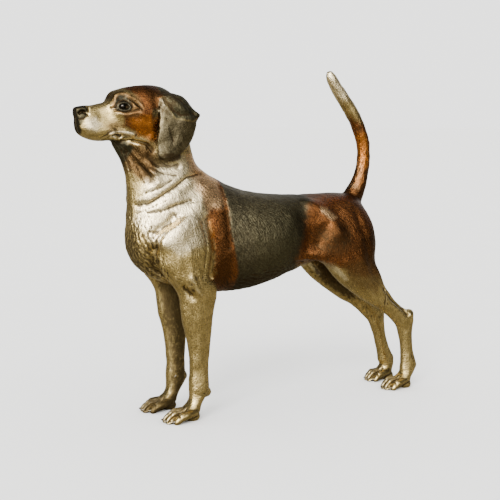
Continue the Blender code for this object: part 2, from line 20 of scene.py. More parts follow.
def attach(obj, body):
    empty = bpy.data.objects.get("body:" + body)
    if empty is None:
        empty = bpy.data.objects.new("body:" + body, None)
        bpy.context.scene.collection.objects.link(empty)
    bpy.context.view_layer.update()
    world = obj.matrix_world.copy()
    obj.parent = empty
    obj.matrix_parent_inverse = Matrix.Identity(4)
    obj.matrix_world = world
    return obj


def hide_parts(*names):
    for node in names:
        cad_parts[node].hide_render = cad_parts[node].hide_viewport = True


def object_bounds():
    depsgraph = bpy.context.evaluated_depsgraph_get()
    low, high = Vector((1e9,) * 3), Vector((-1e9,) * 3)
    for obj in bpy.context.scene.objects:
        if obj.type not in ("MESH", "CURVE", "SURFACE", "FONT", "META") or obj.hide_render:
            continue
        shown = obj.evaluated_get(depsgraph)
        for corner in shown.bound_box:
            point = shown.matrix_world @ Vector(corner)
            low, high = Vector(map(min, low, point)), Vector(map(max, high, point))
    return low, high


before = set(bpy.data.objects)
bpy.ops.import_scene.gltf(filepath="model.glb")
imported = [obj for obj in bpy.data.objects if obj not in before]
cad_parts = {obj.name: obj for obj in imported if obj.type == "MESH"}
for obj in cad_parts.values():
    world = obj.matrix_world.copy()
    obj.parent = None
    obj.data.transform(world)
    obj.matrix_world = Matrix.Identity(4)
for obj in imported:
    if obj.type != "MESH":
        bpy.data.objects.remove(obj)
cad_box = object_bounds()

print("CAD box", [round(v, 3) for corner in cad_box for v in corner])

# %% [markdown]
# ## The camera first
# The photograph was taken from the dog's left front quarter, a little above its back. Placing the camera
# before anything else lets every later step be judged in the view that matters. The camera looks at a point
# on the dog's chest line from 2.8 m away, so the perspective of the far legs matches too.

# %% Camera
CAMERA_AZIMUTH = -29.44
CAMERA_ELEVATION = 6.95
CAMERA_DISTANCE = 2.8
CAMERA_TARGET = Vector((-0.0158, 0.0, 0.4056))
CAMERA_LENS = 78.16
CAMERA_SENSOR = 36.0


def direction_to(azimuth, elevation):
    """The unit vector from the dog towards this azimuth and elevation, in degrees."""
    a = math.radians(azimuth)
    e = math.radians(elevation)
    return Vector((math.sin(a) * math.cos(e), -math.cos(a) * math.cos(e), math.sin(e)))


def aimed(obj, place, target):
    obj.location = place
    obj.rotation_mode = "QUATERNION"
    obj.rotation_quaternion = (target - place).to_track_quat("-Z", "Y")
    bpy.context.scene.collection.objects.link(obj)
    return obj


camera = bpy.data.objects.new("camera", bpy.data.cameras.new("camera"))
camera.data.lens = CAMERA_LENS
camera.data.sensor_width = CAMERA_SENSOR
towards_camera = direction_to(CAMERA_AZIMUTH, CAMERA_ELEVATION)
aimed(camera, CAMERA_TARGET + towards_camera * CAMERA_DISTANCE, CAMERA_TARGET)
bpy.context.scene.camera = camera
print("camera at", [round(v, 3) for v in camera.location])

# %% [markdown]
# ## Proportions
# A sculptor starts from proportions and not from points on the surface. Everything here is a share of the
# height at the withers: slices through the trunk, neck and head, level slices down each leg, and stations
# along the tail. x runs from the forefeet towards the tail and z up from the ground.

# %% Height and softness of the clay
WITHERS_HEIGHT = 0.60
CLAY_CELL = 0.0033 * WITHERS_HEIGHT
SMOOTHING_DEPTH = 0.0183 * WITHERS_HEIGHT

# How much of the smoothing reaches each part: by height on the legs and body, then three parts.
SOFTNESS_BY_HEIGHT = ((0.04, 0.04), (0.12, 0.22), (0.45, 0.40), (0.60, 1.00))
HEAD_SOFTNESS = 0.08
EAR_SOFTNESS = 0.04
TAIL_SOFTNESS = 0.25

# Everything below is in shares of the withers height. Tracks run from the middle plane to a limb.
FORE_TRACK = 0.103
HIND_TRACK = 0.088
EAR_THICKNESS = 0.017
RIGHT_FORE_SHIFT = -0.010

SIDES = {"left": -1.0, "right": 1.0}
UP = Vector((0.0, 0.0, 1.0))
ACROSS = Vector((0.0, 1.0, 0.0))
print("withers", WITHERS_HEIGHT, "m, clay cells", round(1000 * CLAY_CELL, 2), "mm")

# %% Slices of trunk, neck, head and legs
# Trunk slices across X: x, top, bottom, half width, and how much wider the top is than the bottom.
TRUNK = (
    (-0.174, 0.800, 0.715, 0.040, 0.00),
    (-0.158, 0.850, 0.664, 0.080, 0.00),
    (-0.108, 0.920, 0.610, 0.112, 0.05),
    (-0.030, 0.960, 0.566, 0.130, 0.05),
    (0.060, 0.985, 0.536, 0.140, 0.02),
    (0.150, 0.992, 0.518, 0.146, 0.00),
    (0.230, 0.976, 0.510, 0.154, -0.02),
    (0.330, 0.942, 0.512, 0.162, -0.04),
    (0.430, 0.924, 0.530, 0.160, -0.04),
    (0.540, 0.913, 0.564, 0.148, 0.00),
    (0.650, 0.909, 0.598, 0.132, 0.05),
    (0.760, 0.911, 0.628, 0.124, 0.10),
    (0.850, 0.908, 0.660, 0.114, 0.10),
    (0.915, 0.888, 0.700, 0.092, 0.05),
    (0.958, 0.842, 0.750, 0.058, 0.00),
)

# Neck slices from the jaw down into the chest: front x and z, back x and z, half width, back flare.
NECK = (
    (-0.150, 1.230, 0.010, 1.290, 0.060, 0.00),
    (-0.244, 1.152, 0.062, 1.225, 0.074, 0.40),
    (-0.232, 1.112, 0.088, 1.160, 0.080, 0.40),
    (-0.208, 1.070, 0.100, 1.100, 0.087, 0.30),
    (-0.188, 1.020, 0.126, 1.045, 0.094, 0.15),
    (-0.180, 0.955, 0.178, 1.008, 0.106, 0.05),
    (-0.178, 0.890, 0.225, 0.984, 0.118, 0.00),
    (-0.178, 0.800, 0.275, 0.945, 0.130, 0.00),
    (-0.140, 0.700, 0.300, 0.860, 0.124, 0.00),
)

# Head slices across X, nose first: x, top, bottom, half width, and how much wider the top is.
HEAD = (
    (-0.394, 1.258, 1.204, 0.018, 0.00),
    (-0.387, 1.276, 1.182, 0.033, -0.10),
    (-0.364, 1.284, 1.164, 0.044, -0.22),
    (-0.330, 1.290, 1.152, 0.049, -0.26),
    (-0.295, 1.297, 1.148, 0.052, -0.24),
    (-0.272, 1.304, 1.149, 0.055, -0.14),
    (-0.257, 1.322, 1.150, 0.060, -0.06),
    (-0.242, 1.345, 1.152, 0.064, -0.02),
    (-0.216, 1.355, 1.152, 0.071, 0.00),
    (-0.170, 1.366, 1.148, 0.081, 0.02),
    (-0.110, 1.373, 1.144, 0.087, 0.02),
    (-0.050, 1.368, 1.150, 0.085, 0.05),
    (-0.010, 1.353, 1.170, 0.078, 0.05),
    (0.020, 1.328, 1.195, 0.060, 0.00),
    (0.038, 1.290, 1.225, 0.030, 0.00),
)

# The squared nose leather, the same way round.
NOSE = (
    (-0.400, 1.273, 1.250, 0.014, 0.00),
    (-0.396, 1.281, 1.243, 0.024, 0.00),
    (-0.376, 1.286, 1.238, 0.029, 0.00),
    (-0.350, 1.289, 1.238, 0.030, 0.00),
    (-0.330, 1.288, 1.250, 0.026, 0.00),
)

# Arm and foreleg slices, level: z, front x, back x, share of the track, half width.
FORELEG = (
    (0.860, 0.020, 0.100, 0.85, 0.040),
    (0.810, -0.056, 0.118, 1.03, 0.050),
    (0.760, -0.098, 0.126, 1.11, 0.054),
    (0.720, -0.103, 0.136, 1.15, 0.055),
    (0.680, -0.099, 0.134, 1.17, 0.055),
    (0.640, -0.092, 0.126, 1.17, 0.054),
    (0.600, -0.066, 0.124, 1.17, 0.053),
    (0.560, -0.032, 0.146, 1.16, 0.052),
    (0.520, -0.008, 0.160, 1.13, 0.049),
    (0.470, 0.000, 0.151, 1.09, 0.045),
    (0.410, 0.009, 0.144, 1.06, 0.041),
    (0.350, 0.028, 0.139, 1.03, 0.038),
    (0.290, 0.039, 0.132, 1.01, 0.035),
    (0.210, 0.046, 0.127, 0.99, 0.034),
    (0.165, 0.043, 0.127, 0.99, 0.036),
    (0.125, 0.043, 0.128, 0.99, 0.037),
    (0.092, 0.043, 0.110, 0.99, 0.034),
    (0.068, 0.030, 0.094, 0.99, 0.035),
    (0.050, 0.006, 0.088, 1.00, 0.038),
    (0.034, -0.010, 0.085, 1.00, 0.040),
)

# Hind leg slices, level: z, front x, back x, share of the track, half width.
HIND_LEG = (
    (0.880, 0.760, 0.900, 0.60, 0.040),
    (0.820, 0.690, 0.942, 0.85, 0.056),
    (0.760, 0.660, 0.962, 1.02, 0.064),
    (0.700, 0.650, 0.969, 1.14, 0.066),
    (0.640, 0.675, 0.962, 1.22, 0.064),
    (0.600, 0.704, 0.963, 1.24, 0.060),
    (0.560, 0.738, 0.986, 1.24, 0.054),
    (0.520, 0.778, 1.007, 1.21, 0.047),
    (0.480, 0.832, 1.030, 1.17, 0.041),
    (0.440, 0.892, 1.066, 1.13, 0.035),
    (0.405, 0.952, 1.100, 1.08, 0.031),
    (0.375, 1.010, 1.140, 1.05, 0.029),
    (0.345, 1.052, 1.190, 1.04, 0.029),
    (0.315, 1.086, 1.202, 1.03, 0.029),
    (0.285, 1.112, 1.198, 1.00, 0.028),
    (0.250, 1.124, 1.195, 1.00, 0.027),
    (0.210, 1.134, 1.196, 1.00, 0.026),
    (0.165, 1.138, 1.203, 1.00, 0.026),
    (0.125, 1.139, 1.215, 1.00, 0.027),
    (0.095, 1.136, 1.220, 1.00, 0.029),
    (0.070, 1.136, 1.206, 1.00, 0.031),
    (0.050, 1.112, 1.190, 1.00, 0.035),
    (0.034, 1.094, 1.186, 1.00, 0.038),
)

# The right hind leg stands a little apart from the left: height, and shift towards the tail.
RIGHT_HIND_SHIFT = (
    (0.00, 0.030),
    (0.06, 0.020),
    (0.10, 0.000),
    (0.15, -0.010),
    (0.20, -0.020),
    (0.31, -0.036),
    (0.40, -0.030),
    (0.45, -0.020),
    (0.57, -0.012),
    (0.72, 0.000),
)

# Tail stations from inside the rump to the tip: x, z, radius.
TAIL = (
    (0.880, 0.835, 0.046),
    (0.916, 0.885, 0.046),
    (0.947, 0.941, 0.038),
    (0.966, 1.000, 0.031),
    (0.974, 1.058, 0.030),
    (0.972, 1.115, 0.030),
    (0.959, 1.165, 0.031),
    (0.937, 1.216, 0.030),
    (0.900, 1.272, 0.030),
    (0.861, 1.324, 0.029),
    (0.818, 1.380, 0.026),
    (0.794, 1.420, 0.022),
    (0.783, 1.443, 0.012),
)

body_slices = len(TRUNK) + len(NECK) + len(HEAD) + len(NOSE)
print(body_slices, "slices of the body,", len(FORELEG), "and", len(HIND_LEG), "of the legs")

# %% Ears, toes, pads and bony points
# Ear slices, level, from the root down: z, front x, back x, y at the front, middle and back.
EAR = (
    (1.338, -0.050, 0.000, 0.060, 0.066, 0.058),
    (1.326, -0.078, 0.032, 0.076, 0.090, 0.078),
    (1.302, -0.078, 0.053, 0.087, 0.109, 0.088),
    (1.276, -0.079, 0.071, 0.092, 0.117, 0.097),
    (1.250, -0.081, 0.101, 0.095, 0.120, 0.102),
    (1.225, -0.084, 0.085, 0.097, 0.120, 0.104),
    (1.200, -0.088, 0.078, 0.099, 0.118, 0.105),
    (1.150, -0.096, 0.060, 0.101, 0.115, 0.105),
    (1.110, -0.094, 0.024, 0.102, 0.113, 0.106),
    (1.085, -0.090, -0.014, 0.104, 0.111, 0.106),
    (1.073, -0.078, -0.044, 0.105, 0.109, 0.106),
)

# Toe paths: outward shift from the track, then x at the knuckle, the arch and the tip, and radius.
FORE_TOES = (
    (-0.040, 0.012, -0.016, -0.041, 0.0145),
    (-0.013, 0.002, -0.038, -0.063, 0.0155),
    (0.015, 0.002, -0.036, -0.061, 0.0155),
    (0.041, 0.014, -0.014, -0.037, 0.0145),
)
HIND_TOES = (
    (-0.036, 1.104, 1.086, 1.068, 0.0130),
    (-0.012, 1.092, 1.068, 1.048, 0.0140),
    (0.012, 1.092, 1.070, 1.050, 0.0140),
    (0.036, 1.106, 1.088, 1.070, 0.0130),
)

# A toe from its root to its claw: height, and girth as a share of its radius.
TOE_PROFILE = ((0.036, 1.10), (0.032, 1.10), (0.025, 1.15), (0.009, 1.00), (0.006, 0.55))
TOE_ROOT_BACK = 0.045
TOE_ROOT_SPREAD = 0.6
CLAW_REACH = 0.7

# The pads of a paw: how far in front of the heel, the height, and the radii.
HEEL_PAD = (0.000, 0.016, (0.034, 0.035, 0.026))
SOLE_PAD = (0.052, 0.022, (0.036, 0.042, 0.024))
FORE_HEEL_X = 0.052
HIND_HEEL_X = 1.156

# Bony points of each side: x, share of the track, z, and the radii.
ELBOW = (0.142, 1.13, 0.545, (0.022, 0.026, 0.034))
CARPAL_PAD = (0.117, 0.99, 0.110, (0.024, 0.021, 0.023))
RIGHT_CARPAL_RISE = 0.028
HOCK_POINT = (1.174, 1.05, 0.340, (0.028, 0.024, 0.026))
HIND_HEEL = (1.207, 1.00, 0.100, (0.018, 0.020, 0.020))

# The fold of the flank, from the belly to the thigh: x, share of the hind track, z, radius.
FLANK_FOLD = (
    (0.520, 1.14, 0.670, 0.034),
    (0.600, 1.23, 0.665, 0.032),
    (0.670, 1.27, 0.655, 0.032),
    (0.740, 1.25, 0.615, 0.034),
)

# The sheath under the belly: its centre, radii and tilt in degrees.
SHEATH = ((0.645, 0.0, 0.603), (0.040, 0.024, 0.018), 12.0)

print(len(EAR), "slices of an ear,", len(FORE_TOES) + len(HIND_TOES), "toes on each side")

# %% [markdown]
# ## Shells of clay
# Each part is a closed shell lofted through its slices, as a sculptor slaps lumps of clay on a frame. The
# shells overlap freely here, because the next step makes them one skin. A Catmull-Rom curve through the
# slices keeps the profile smooth between them, which takes far fewer numbers than listing the surface.

# %% Lofts and lumps
# How squared the slices of each part are: 2 is an oval, and more is boxier.
TRUNK_SQUARED = 2.2
HEAD_SQUARED = 2.3
NOSE_SQUARED = 3.0
NECK_SQUARED = 2.1
LEG_SQUARED = 2.2

# How many points go round a slice of the body, of a leg, and of a toe, fold or tail.
BODY_SIDES = 36
LEG_SIDES = 28
CORD_SIDES = 16


def smooth_stations(rows, steps=4):
    """Rows between the given ones, on a Catmull-Rom curve through each column."""
    rows = np.array(rows, float)
    ends = np.vstack((2 * rows[0] - rows[1], rows, 2 * rows[-1] - rows[-2]))
    made = []
    for first, start, end, last in zip(ends, ends[1:], ends[2:], ends[3:]):
        for t in np.arange(steps) / steps:
            rise = (end - first) * t
            bend = (2 * first - 5 * start + 4 * end - last) * t**2
            twist = (3 * start - first - 3 * end + last) * t**3
            made.append((2 * start + rise + bend + twist) / 2)
    made.append(rows[-1])
    return made


def oval(centre, along, across, widening=0.0, power=2.0, count=LEG_SIDES):
    """Points round a closed oval. It is wider by widening at the end that along points to."""
    points = []
    for step in range(count):
        angle = 2 * math.pi * step / count
        c = math.cos(angle)
        s = math.sin(angle)
        c = math.copysign(abs(c) ** (2 / power), c)
        s = math.copysign(abs(s) ** (2 / power), s)
        points.append(centre + along * c + across * (s * (1 + widening * c)))
    return points


def loft(slices):
    """A closed shell through the slices, in shares of the withers height, scaled to metres."""
    shell = bmesh.new()
    rings = [[shell.verts.new(p * WITHERS_HEIGHT) for p in ring] for ring in slices]
    for ring, after in zip(rings, rings[1:]):
        for i in range(len(ring)):
            j = (i + 1) % len(ring)
            shell.faces.new((ring[i], ring[j], after[j], after[i]))
    shell.faces.new(rings[0])
    shell.faces.new(rings[-1])
    bmesh.ops.recalc_face_normals(shell, faces=shell.faces)
    return shell


def lump(centre, radii, tilt=0.0):
    """An ellipsoid of muscle or bone, tilted about Y in degrees."""
    shell = bmesh.new()
    place = Matrix.Translation(Vector(centre) * WITHERS_HEIGHT)
    place = place @ Matrix.Rotation(math.radians(tilt), 4, "Y")
    place = place @ Matrix.Diagonal((*(r * WITHERS_HEIGHT for r in radii), 1.0))
    bmesh.ops.create_icosphere(shell, subdivisions=3, radius=1.0, matrix=place)
    return shell


def cord_of(stations):
    """A round limb through stations of x, y, z and radius."""
    rows = smooth_stations(stations)
    slices = []
    for i, row in enumerate(rows):
        along = Vector((rows[min(i + 1, len(rows) - 1)] - rows[max(i - 1, 0)])[:3]).normalized()
        side = along.cross(ACROSS if abs(along.y) < 0.9 else UP).normalized()
        slices.append(oval(Vector(row[:3]), side * row[3], along.cross(side) * row[3], count=CORD_SIDES))
    return loft(slices)


def upright_slices(rows, power):
    """A body loft from rows of x, top, bottom, half width and widening."""
    slices = []
    for x, top, bottom, half_width, widening in smooth_stations(rows):
        centre = Vector((x, 0.0, (top + bottom) / 2))
        slices.append(oval(centre, UP * (top - bottom) / 2, ACROSS * half_width, widening, power, BODY_SIDES))
    return loft(slices)


def neck():
    slices = []
    for front_x, front_z, back_x, back_z, half_width, flare in smooth_stations(NECK):
        front = Vector((front_x, 0.0, front_z))
        back = Vector((back_x, 0.0, back_z))
        middle = (front + back) / 2
        along = (back - front) / 2
        slices.append(oval(middle, along, ACROSS * half_width, flare, NECK_SQUARED, BODY_SIDES))
    return loft(slices)


def level_leg(rows):
    """A leg from level slices: z, front x, back x, y, half width."""
    slices = []
    for z, front, back, y, half_width in smooth_stations(rows):
        centre = Vector(((front + back) / 2, y, z))
        along = Vector(((back - front) / 2, 0.0, 0.0))
        slices.append(oval(centre, along, ACROSS * half_width, power=LEG_SQUARED))
    return loft(slices)


def fore_shift(side):
    return RIGHT_FORE_SHIFT if side > 0 else 0.0


def hind_shift(side, z):
    """How far back the hind leg of this side stands at this height."""
    heights, shifts = zip(*RIGHT_HIND_SHIFT)
    return float(np.interp(z, heights, shifts)) if side > 0 else 0.0


def foreleg(side):
    low = fore_shift(side)
    rows = []
    for z, front, back, out, half_width in FORELEG:
        shift = low * float(np.interp(z, (0.3, 0.6), (1.0, 0.0)))
        rows.append((z, front + shift, back + shift, side * FORE_TRACK * out, half_width))
    return level_leg(rows)


def hind_leg(side):
    rows = []
    for z, front, back, out, half_width in HIND_LEG:
        shift = hind_shift(side, z)
        rows.append((z, front + shift, back + shift, side * HIND_TRACK * out, half_width))
    return level_leg(rows)


def tail():
    return cord_of([(x, 0.0, z, radius) for x, z, radius in TAIL])


def ear(side):
    """A hanging leaf of even thickness that bows outward, from level slices."""
    steps = 10
    there = [i / steps for i in range(steps + 1)]
    back_again = there[-2:0:-1]
    slices = []
    for z, front, back, y_front, y_middle, y_back in smooth_stations(EAR):
        ring = []
        pull = 2 * y_middle - (y_front + y_back) / 2
        for face, shares in ((1.0, there), (-1.0, back_again)):
            for t in shares:
                y = (1 - t) ** 2 * y_front + 2 * t * (1 - t) * pull + t**2 * y_back
                edge = math.sqrt(1 - (2 * t - 1) ** 4)
                y += face * edge * EAR_THICKNESS / 2
                ring.append(Vector((front + (back - front) * t, side * y, z)))
        slices.append(ring)
    return loft(slices)


def paws_of(side):
    """The fore and the hind paw of a side: track, toes, heel, and how far back the paw stands."""
    return (
        (FORE_TRACK, FORE_TOES, FORE_HEEL_X, fore_shift(side)),
        (HIND_TRACK, HIND_TOES, HIND_HEEL_X, hind_shift(side, 0.0)),
    )


def paw(side, track, toes, heel_x, shift):
    """Four arched toes on two pads. Their undersides are cut level once the clay is one skin."""
    shells = []
    for out, knuckle, arch, tip, radius in toes:
        y = side * (track + out)
        y_root = side * (track + TOE_ROOT_SPREAD * out)
        along = (knuckle + TOE_ROOT_BACK, knuckle, arch, tip, tip - CLAW_REACH * radius)
        sideways = (y_root, y, y, y, y)
        stations = []
        for x, y_here, (z, girth) in zip(along, sideways, TOE_PROFILE):
            stations.append((x + shift, y_here, z, radius * girth))
        shells.append(cord_of(stations))
    for ahead, z, radii in (HEEL_PAD, SOLE_PAD):
        shells.append(lump((heel_x + shift - ahead, side * track, z), radii))
    return shells


def bony_point(point, side, track, shift=0.0, rise=0.0):
    x, out, z, radii = point
    return lump((x + shift, side * track * out, z + rise), radii)


def muscles(side):
    """Masses of one side that stand proud of the trunk and legs."""
    hock = hind_shift(side, HOCK_POINT[2])
    pastern = hind_shift(side, HIND_HEEL[2])
    carpal_rise = RIGHT_CARPAL_RISE if side > 0 else 0.0
    flank_fold = [(x, side * HIND_TRACK * out, z, radius) for x, out, z, radius in FLANK_FOLD]
    return [
        cord_of(flank_fold),
        bony_point(ELBOW, side, FORE_TRACK),
        bony_point(CARPAL_PAD, side, FORE_TRACK, fore_shift(side), carpal_rise),
        bony_point(HOCK_POINT, side, HIND_TRACK, hock),
        bony_point(HIND_HEEL, side, HIND_TRACK, pastern),
    ]


def clay_shells():
    shells = [
        upright_slices(TRUNK, TRUNK_SQUARED),
        upright_slices(HEAD, HEAD_SQUARED),
        upright_slices(NOSE, NOSE_SQUARED),
        neck(),
        tail(),
        lump(*SHEATH),
    ]
    for side in SIDES.values():
        shells += [foreleg(side), hind_leg(side), ear(side)]
        shells += muscles(side)
        for values in paws_of(side):
            shells += paw(side, *values)
    return shells


shells = clay_shells()
print(len(shells), "shells of clay")

# %% Joining the shells
def joined_mesh(name, shells):
    """One mesh of all the shells, still overlapping each other."""
    whole = bmesh.new()
    for shell in shells:
        part = bpy.data.meshes.new("shell")
        shell.to_mesh(part)
        shell.free()
        whole.from_mesh(part)
        bpy.data.meshes.remove(part)
    mesh = bpy.data.meshes.new(name)
    whole.to_mesh(mesh)
    whole.free()
    return mesh


def placed(name, mesh):
    obj = bpy.data.objects.new(name, mesh)
    bpy.context.scene.collection.objects.link(obj)
    return obj


def evaluated_mesh(obj):
    """The object's mesh with its modifiers applied. The object is removed."""
    graph = bpy.context.evaluated_depsgraph_get()
    mesh = bpy.data.meshes.new_from_object(obj.evaluated_get(graph))
    bpy.data.objects.remove(obj)
    return mesh


def points_of(mesh):
    points = np.empty(len(mesh.vertices) * 3)
    mesh.vertices.foreach_get("co", points)
    return points.reshape(-1, 3)


def normals_of(mesh):
    normals = np.empty(len(mesh.vertices) * 3)
    mesh.vertex_normals.foreach_get("vector", normals)
    return normals.reshape(-1, 3)

# %% [markdown]
# ## One skin
# A voxel remesh turns the overlapping shells into a single closed skin, and a Smooth modifier blends the
# joints. A vertex group says how far each part is softened: the flanks a lot, the face and paws hardly at
# all. Booleans could join the shells too, but they would leave hard seams that clay doesn't have.

# %% Remesh and smooth
def softness(points):
    """How much the clay is smoothed at each point: broad on the body, little on face and paws."""
    x, y, z = (points / WITHERS_HEIGHT).T
    soft = np.interp(z, *zip(*SOFTNESS_BY_HEIGHT))
    head_line = 1.13 + 0.5 * np.clip(x + 0.15, 0.0, 0.3)
    in_head = np.clip((z - head_line) / 0.05, 0, 1) * (x < 0.3)
    soft = soft * (1 - in_head) + HEAD_SOFTNESS * in_head
    in_ear = (x > -0.11) & (x < 0.12) & (np.abs(y) > 0.084) & (z > 1.05)
    soft = np.where(in_ear, EAR_SOFTNESS, soft)
    in_tail = np.clip((z - 0.93) / 0.04, 0, 1) * (x > 0.6)
    return soft * (1 - in_tail) + TAIL_SOFTNESS * in_tail


def weigh_points(obj, name, weights):
    """A vertex group with these weights, filled one level of weight after another."""
    group = obj.vertex_groups.new(name=name)
    for level in np.unique(weights):
        group.add(np.flatnonzero(weights == level).tolist(), float(level), "REPLACE")


def fused_clay(shells):
    """The shells made one skin by a voxel remesh, then smoothed as the softness says."""
    obj = placed("clay", joined_mesh("clay", shells))
    remesh = obj.modifiers.new("one skin", "REMESH")
    remesh.mode = "VOXEL"
    remesh.voxel_size = CLAY_CELL
    obj = placed("clay", evaluated_mesh(obj))
    weigh_points(obj, "soft", np.round(softness(points_of(obj.data)), 2))
    smooth = obj.modifiers.new("thumbed", "SMOOTH")
    smooth.factor = 0.5
    smooth.iterations = round(4 * (SMOOTHING_DEPTH / CLAY_CELL) ** 2)
    smooth.vertex_group = "soft"
    return evaluated_mesh(obj)


clay = fused_clay(shells)
print("clay skin", len(clay.vertices), "points")

# %% [markdown]
# ## Broad modelling strokes
# The folds of the neck, the edge of the shoulder blade, the flank and the hock tendons are strokes of the
# thumb. Each is a path on the side view with a reach and a depth, worked into both sides along the surface
# normal. Displacing points by functions like this is quick and stays editable, where sculpting by hand
# wouldn't.

# %% Broad strokes
# A stroke on a side view works only on clay that faces that side: from nothing to all of it.
SIDE_FACING = (0.15, 0.65)

# Modelling strokes, drawn as on a side view and worked into both sides: x and z along the path,
# then the reach, how far it raises or cuts the clay, and the least distance from the middle plane.
STROKES = {
    "front of the arm": (
        ((-0.030, 0.850), (-0.050, 0.825), (-0.099, 0.796), (-0.112, 0.759), (-0.111, 0.719)),
        0.015, -0.008, 0.06,
    ),
    "arm against the brisket": (
        ((-0.111, 0.719), (-0.106, 0.679), (-0.100, 0.639), (-0.071, 0.600), (-0.031, 0.551)),
        0.015, -0.012, 0.06,
    ),
    "back of the arm": (
        ((0.112, 0.830), (0.124, 0.790), (0.138, 0.748), (0.148, 0.707), (0.145, 0.658), (0.136, 0.600)),
        0.017, -0.010, 0.06,
    ),
    "shoulder ridge": (
        ((-0.080, 0.752), (-0.023, 0.790), (0.035, 0.832), (0.080, 0.880)),
        0.036, 0.010, 0.06,
    ),
    "edge of the shoulder blade": (
        ((0.194, 0.955), (0.198, 0.867), (0.204, 0.785), (0.206, 0.715)),
        0.011, -0.0035, 0.05,
    ),
    "long neck fold": (
        ((0.120, 1.012), (0.051, 1.003), (0.006, 0.976), (-0.048, 0.943), (-0.110, 0.903), (-0.155, 0.893)),
        0.012, -0.008, 0.03,
    ),
    "short neck fold": (
        ((0.072, 0.919), (0.027, 0.900), (-0.004, 0.890), (-0.039, 0.883)),
        0.014, -0.005, 0.05,
    ),
    "hollow of the neck": (((0.065, 0.955), (0.030, 0.935)), 0.030, -0.008, 0.05),
    "throat fold": (
        ((-0.198, 1.100), (-0.190, 1.055), (-0.189, 0.996), (-0.184, 0.944)),
        0.009, -0.007, 0.025,
    ),
    "hollow of the throat": (
        ((-0.180, 1.110), (-0.152, 1.062), (-0.130, 1.022), (-0.116, 0.990)),
        0.018, -0.009, 0.03,
    ),
    "neck strap": (((-0.150, 1.130), (-0.125, 1.085), (-0.095, 1.035), (-0.085, 0.985)), 0.018, 0.007, 0.04),
    "brisket edge": (((-0.142, 0.633), (-0.112, 0.611), (-0.068, 0.583)), 0.009, -0.006, 0.02),
    "elbow notch": (((-0.006, 0.565), (0.014, 0.535), (0.034, 0.518)), 0.013, -0.009, 0.12),
    "elbow cord": (((0.022, 0.600), (0.042, 0.566), (0.064, 0.534)), 0.011, 0.007, 0.12),
    "forearm cord": (((-0.040, 0.600), (-0.014, 0.556)), 0.011, 0.005, 0.12),
    "hip": (((0.630, 0.865), (0.680, 0.838), (0.715, 0.795), (0.735, 0.750)), 0.036, 0.013, 0.06),
    "flank hollow": (((0.590, 0.800), (0.622, 0.740), (0.608, 0.685)), 0.050, -0.016, 0.06),
    "hamstring groove": (
        ((0.850, 0.820), (0.880, 0.720), (0.900, 0.620), (0.945, 0.530)),
        0.018, -0.005, 0.06,
    ),
    "hock tendon groove": (
        ((1.010, 0.478), (1.060, 0.425), (1.110, 0.385), (1.150, 0.345)),
        0.010, -0.007, 0.04,
    ),
    "brow": (((-0.252, 1.318), (-0.232, 1.333), (-0.200, 1.336)), 0.020, 0.003, 0.02),
    "cheekbone": (((-0.215, 1.258), (-0.165, 1.262), (-0.110, 1.262)), 0.024, 0.006, 0.03),
    "cheek": (((-0.150, 1.210), (-0.120, 1.200)), 0.040, 0.008, 0.03),
    "flews": (((-0.350, 1.200), (-0.310, 1.180), (-0.270, 1.186)), 0.024, 0.005, 0.02),
    "side of the muzzle": (((-0.300, 1.250), (-0.260, 1.245), (-0.235, 1.225)), 0.020, -0.004, 0.02),
    "upper lip": (((-0.268, 1.174), (-0.246, 1.188), (-0.215, 1.186), (-0.180, 1.172)), 0.010, 0.005, 0.02),
    "lower lip": (((-0.240, 1.155), (-0.215, 1.152), (-0.185, 1.154)), 0.009, 0.006, 0.02),
    "ear dish": (((-0.020, 1.230), (-0.030, 1.160)), 0.030, -0.005, 0.09),
    "ear fold": (((-0.060, 1.320), (-0.035, 1.275), (0.000, 1.250), (0.060, 1.256)), 0.011, -0.006, 0.08),
}

# Strokes along the middle plane: x and z along the path, the reach, and the rise or cut.
MIDDLE_STROKES = {
    "furrow of the forehead": (((-0.250, 1.345), (-0.200, 1.362), (-0.130, 1.376)), 0.016, -0.006),
    "cleft of the lip": (((-0.392, 1.240), (-0.395, 1.200), (-0.385, 1.180)), 0.007, -0.006),
    "furrow of the back": (((0.300, 0.945), (0.600, 0.910), (0.800, 0.910)), 0.020, -0.004),
}


def distance_to_path(points, path):
    """The least distance of flat points from a path of straight pieces."""
    nearest = np.full(len(points), np.inf)
    for start, end in zip(np.array(path), np.array(path)[1:]):
        along = end - start
        share = np.clip((points - start) @ along / (along @ along), 0, 1)
        nearest = np.minimum(nearest, np.linalg.norm(points - start - share[:, None] * along, axis=1))
    return nearest


def set_points(mesh, points):
    mesh.vertices.foreach_set("co", points.ravel())
    mesh.update()


def stroke_rise(points, path, reach, rise, mask):
    """How far each point moves for one stroke, fading with distance from the path."""
    fade = np.zeros(len(points))
    near = np.flatnonzero(mask)
    distance = distance_to_path(points[near][:, (0, 2)], path)
    fade[near] = np.exp(-((distance / reach) ** 2)) * mask[near]
    return rise * fade


def work_strokes(mesh, side_strokes, middle_strokes):
    """Every named stroke pushed into the clay or raised from it, along the surface normal."""
    points = points_of(mesh) / WITHERS_HEIGHT
    normals = normals_of(mesh)
    rise = np.zeros(len(points))
    facing = np.interp(np.abs(normals[:, 1]), SIDE_FACING, (0.0, 1.0))
    facing *= normals[:, 1] * points[:, 1] > 0
    for path, reach, height, least_y in side_strokes.values():
        rise += stroke_rise(points, path, reach, height, facing * (np.abs(points[:, 1]) > least_y))
    for path, reach, height in middle_strokes.values():
        beside = np.exp(-((points[:, 1] / reach) ** 2))
        rise += stroke_rise(points, path, 2 * reach, height, beside)
    set_points(mesh, (points + normals * rise[:, None]) * WITHERS_HEIGHT)


work_strokes(clay, STROKES, MIDDLE_STROKES)
print(len(STROKES), "broad strokes worked")

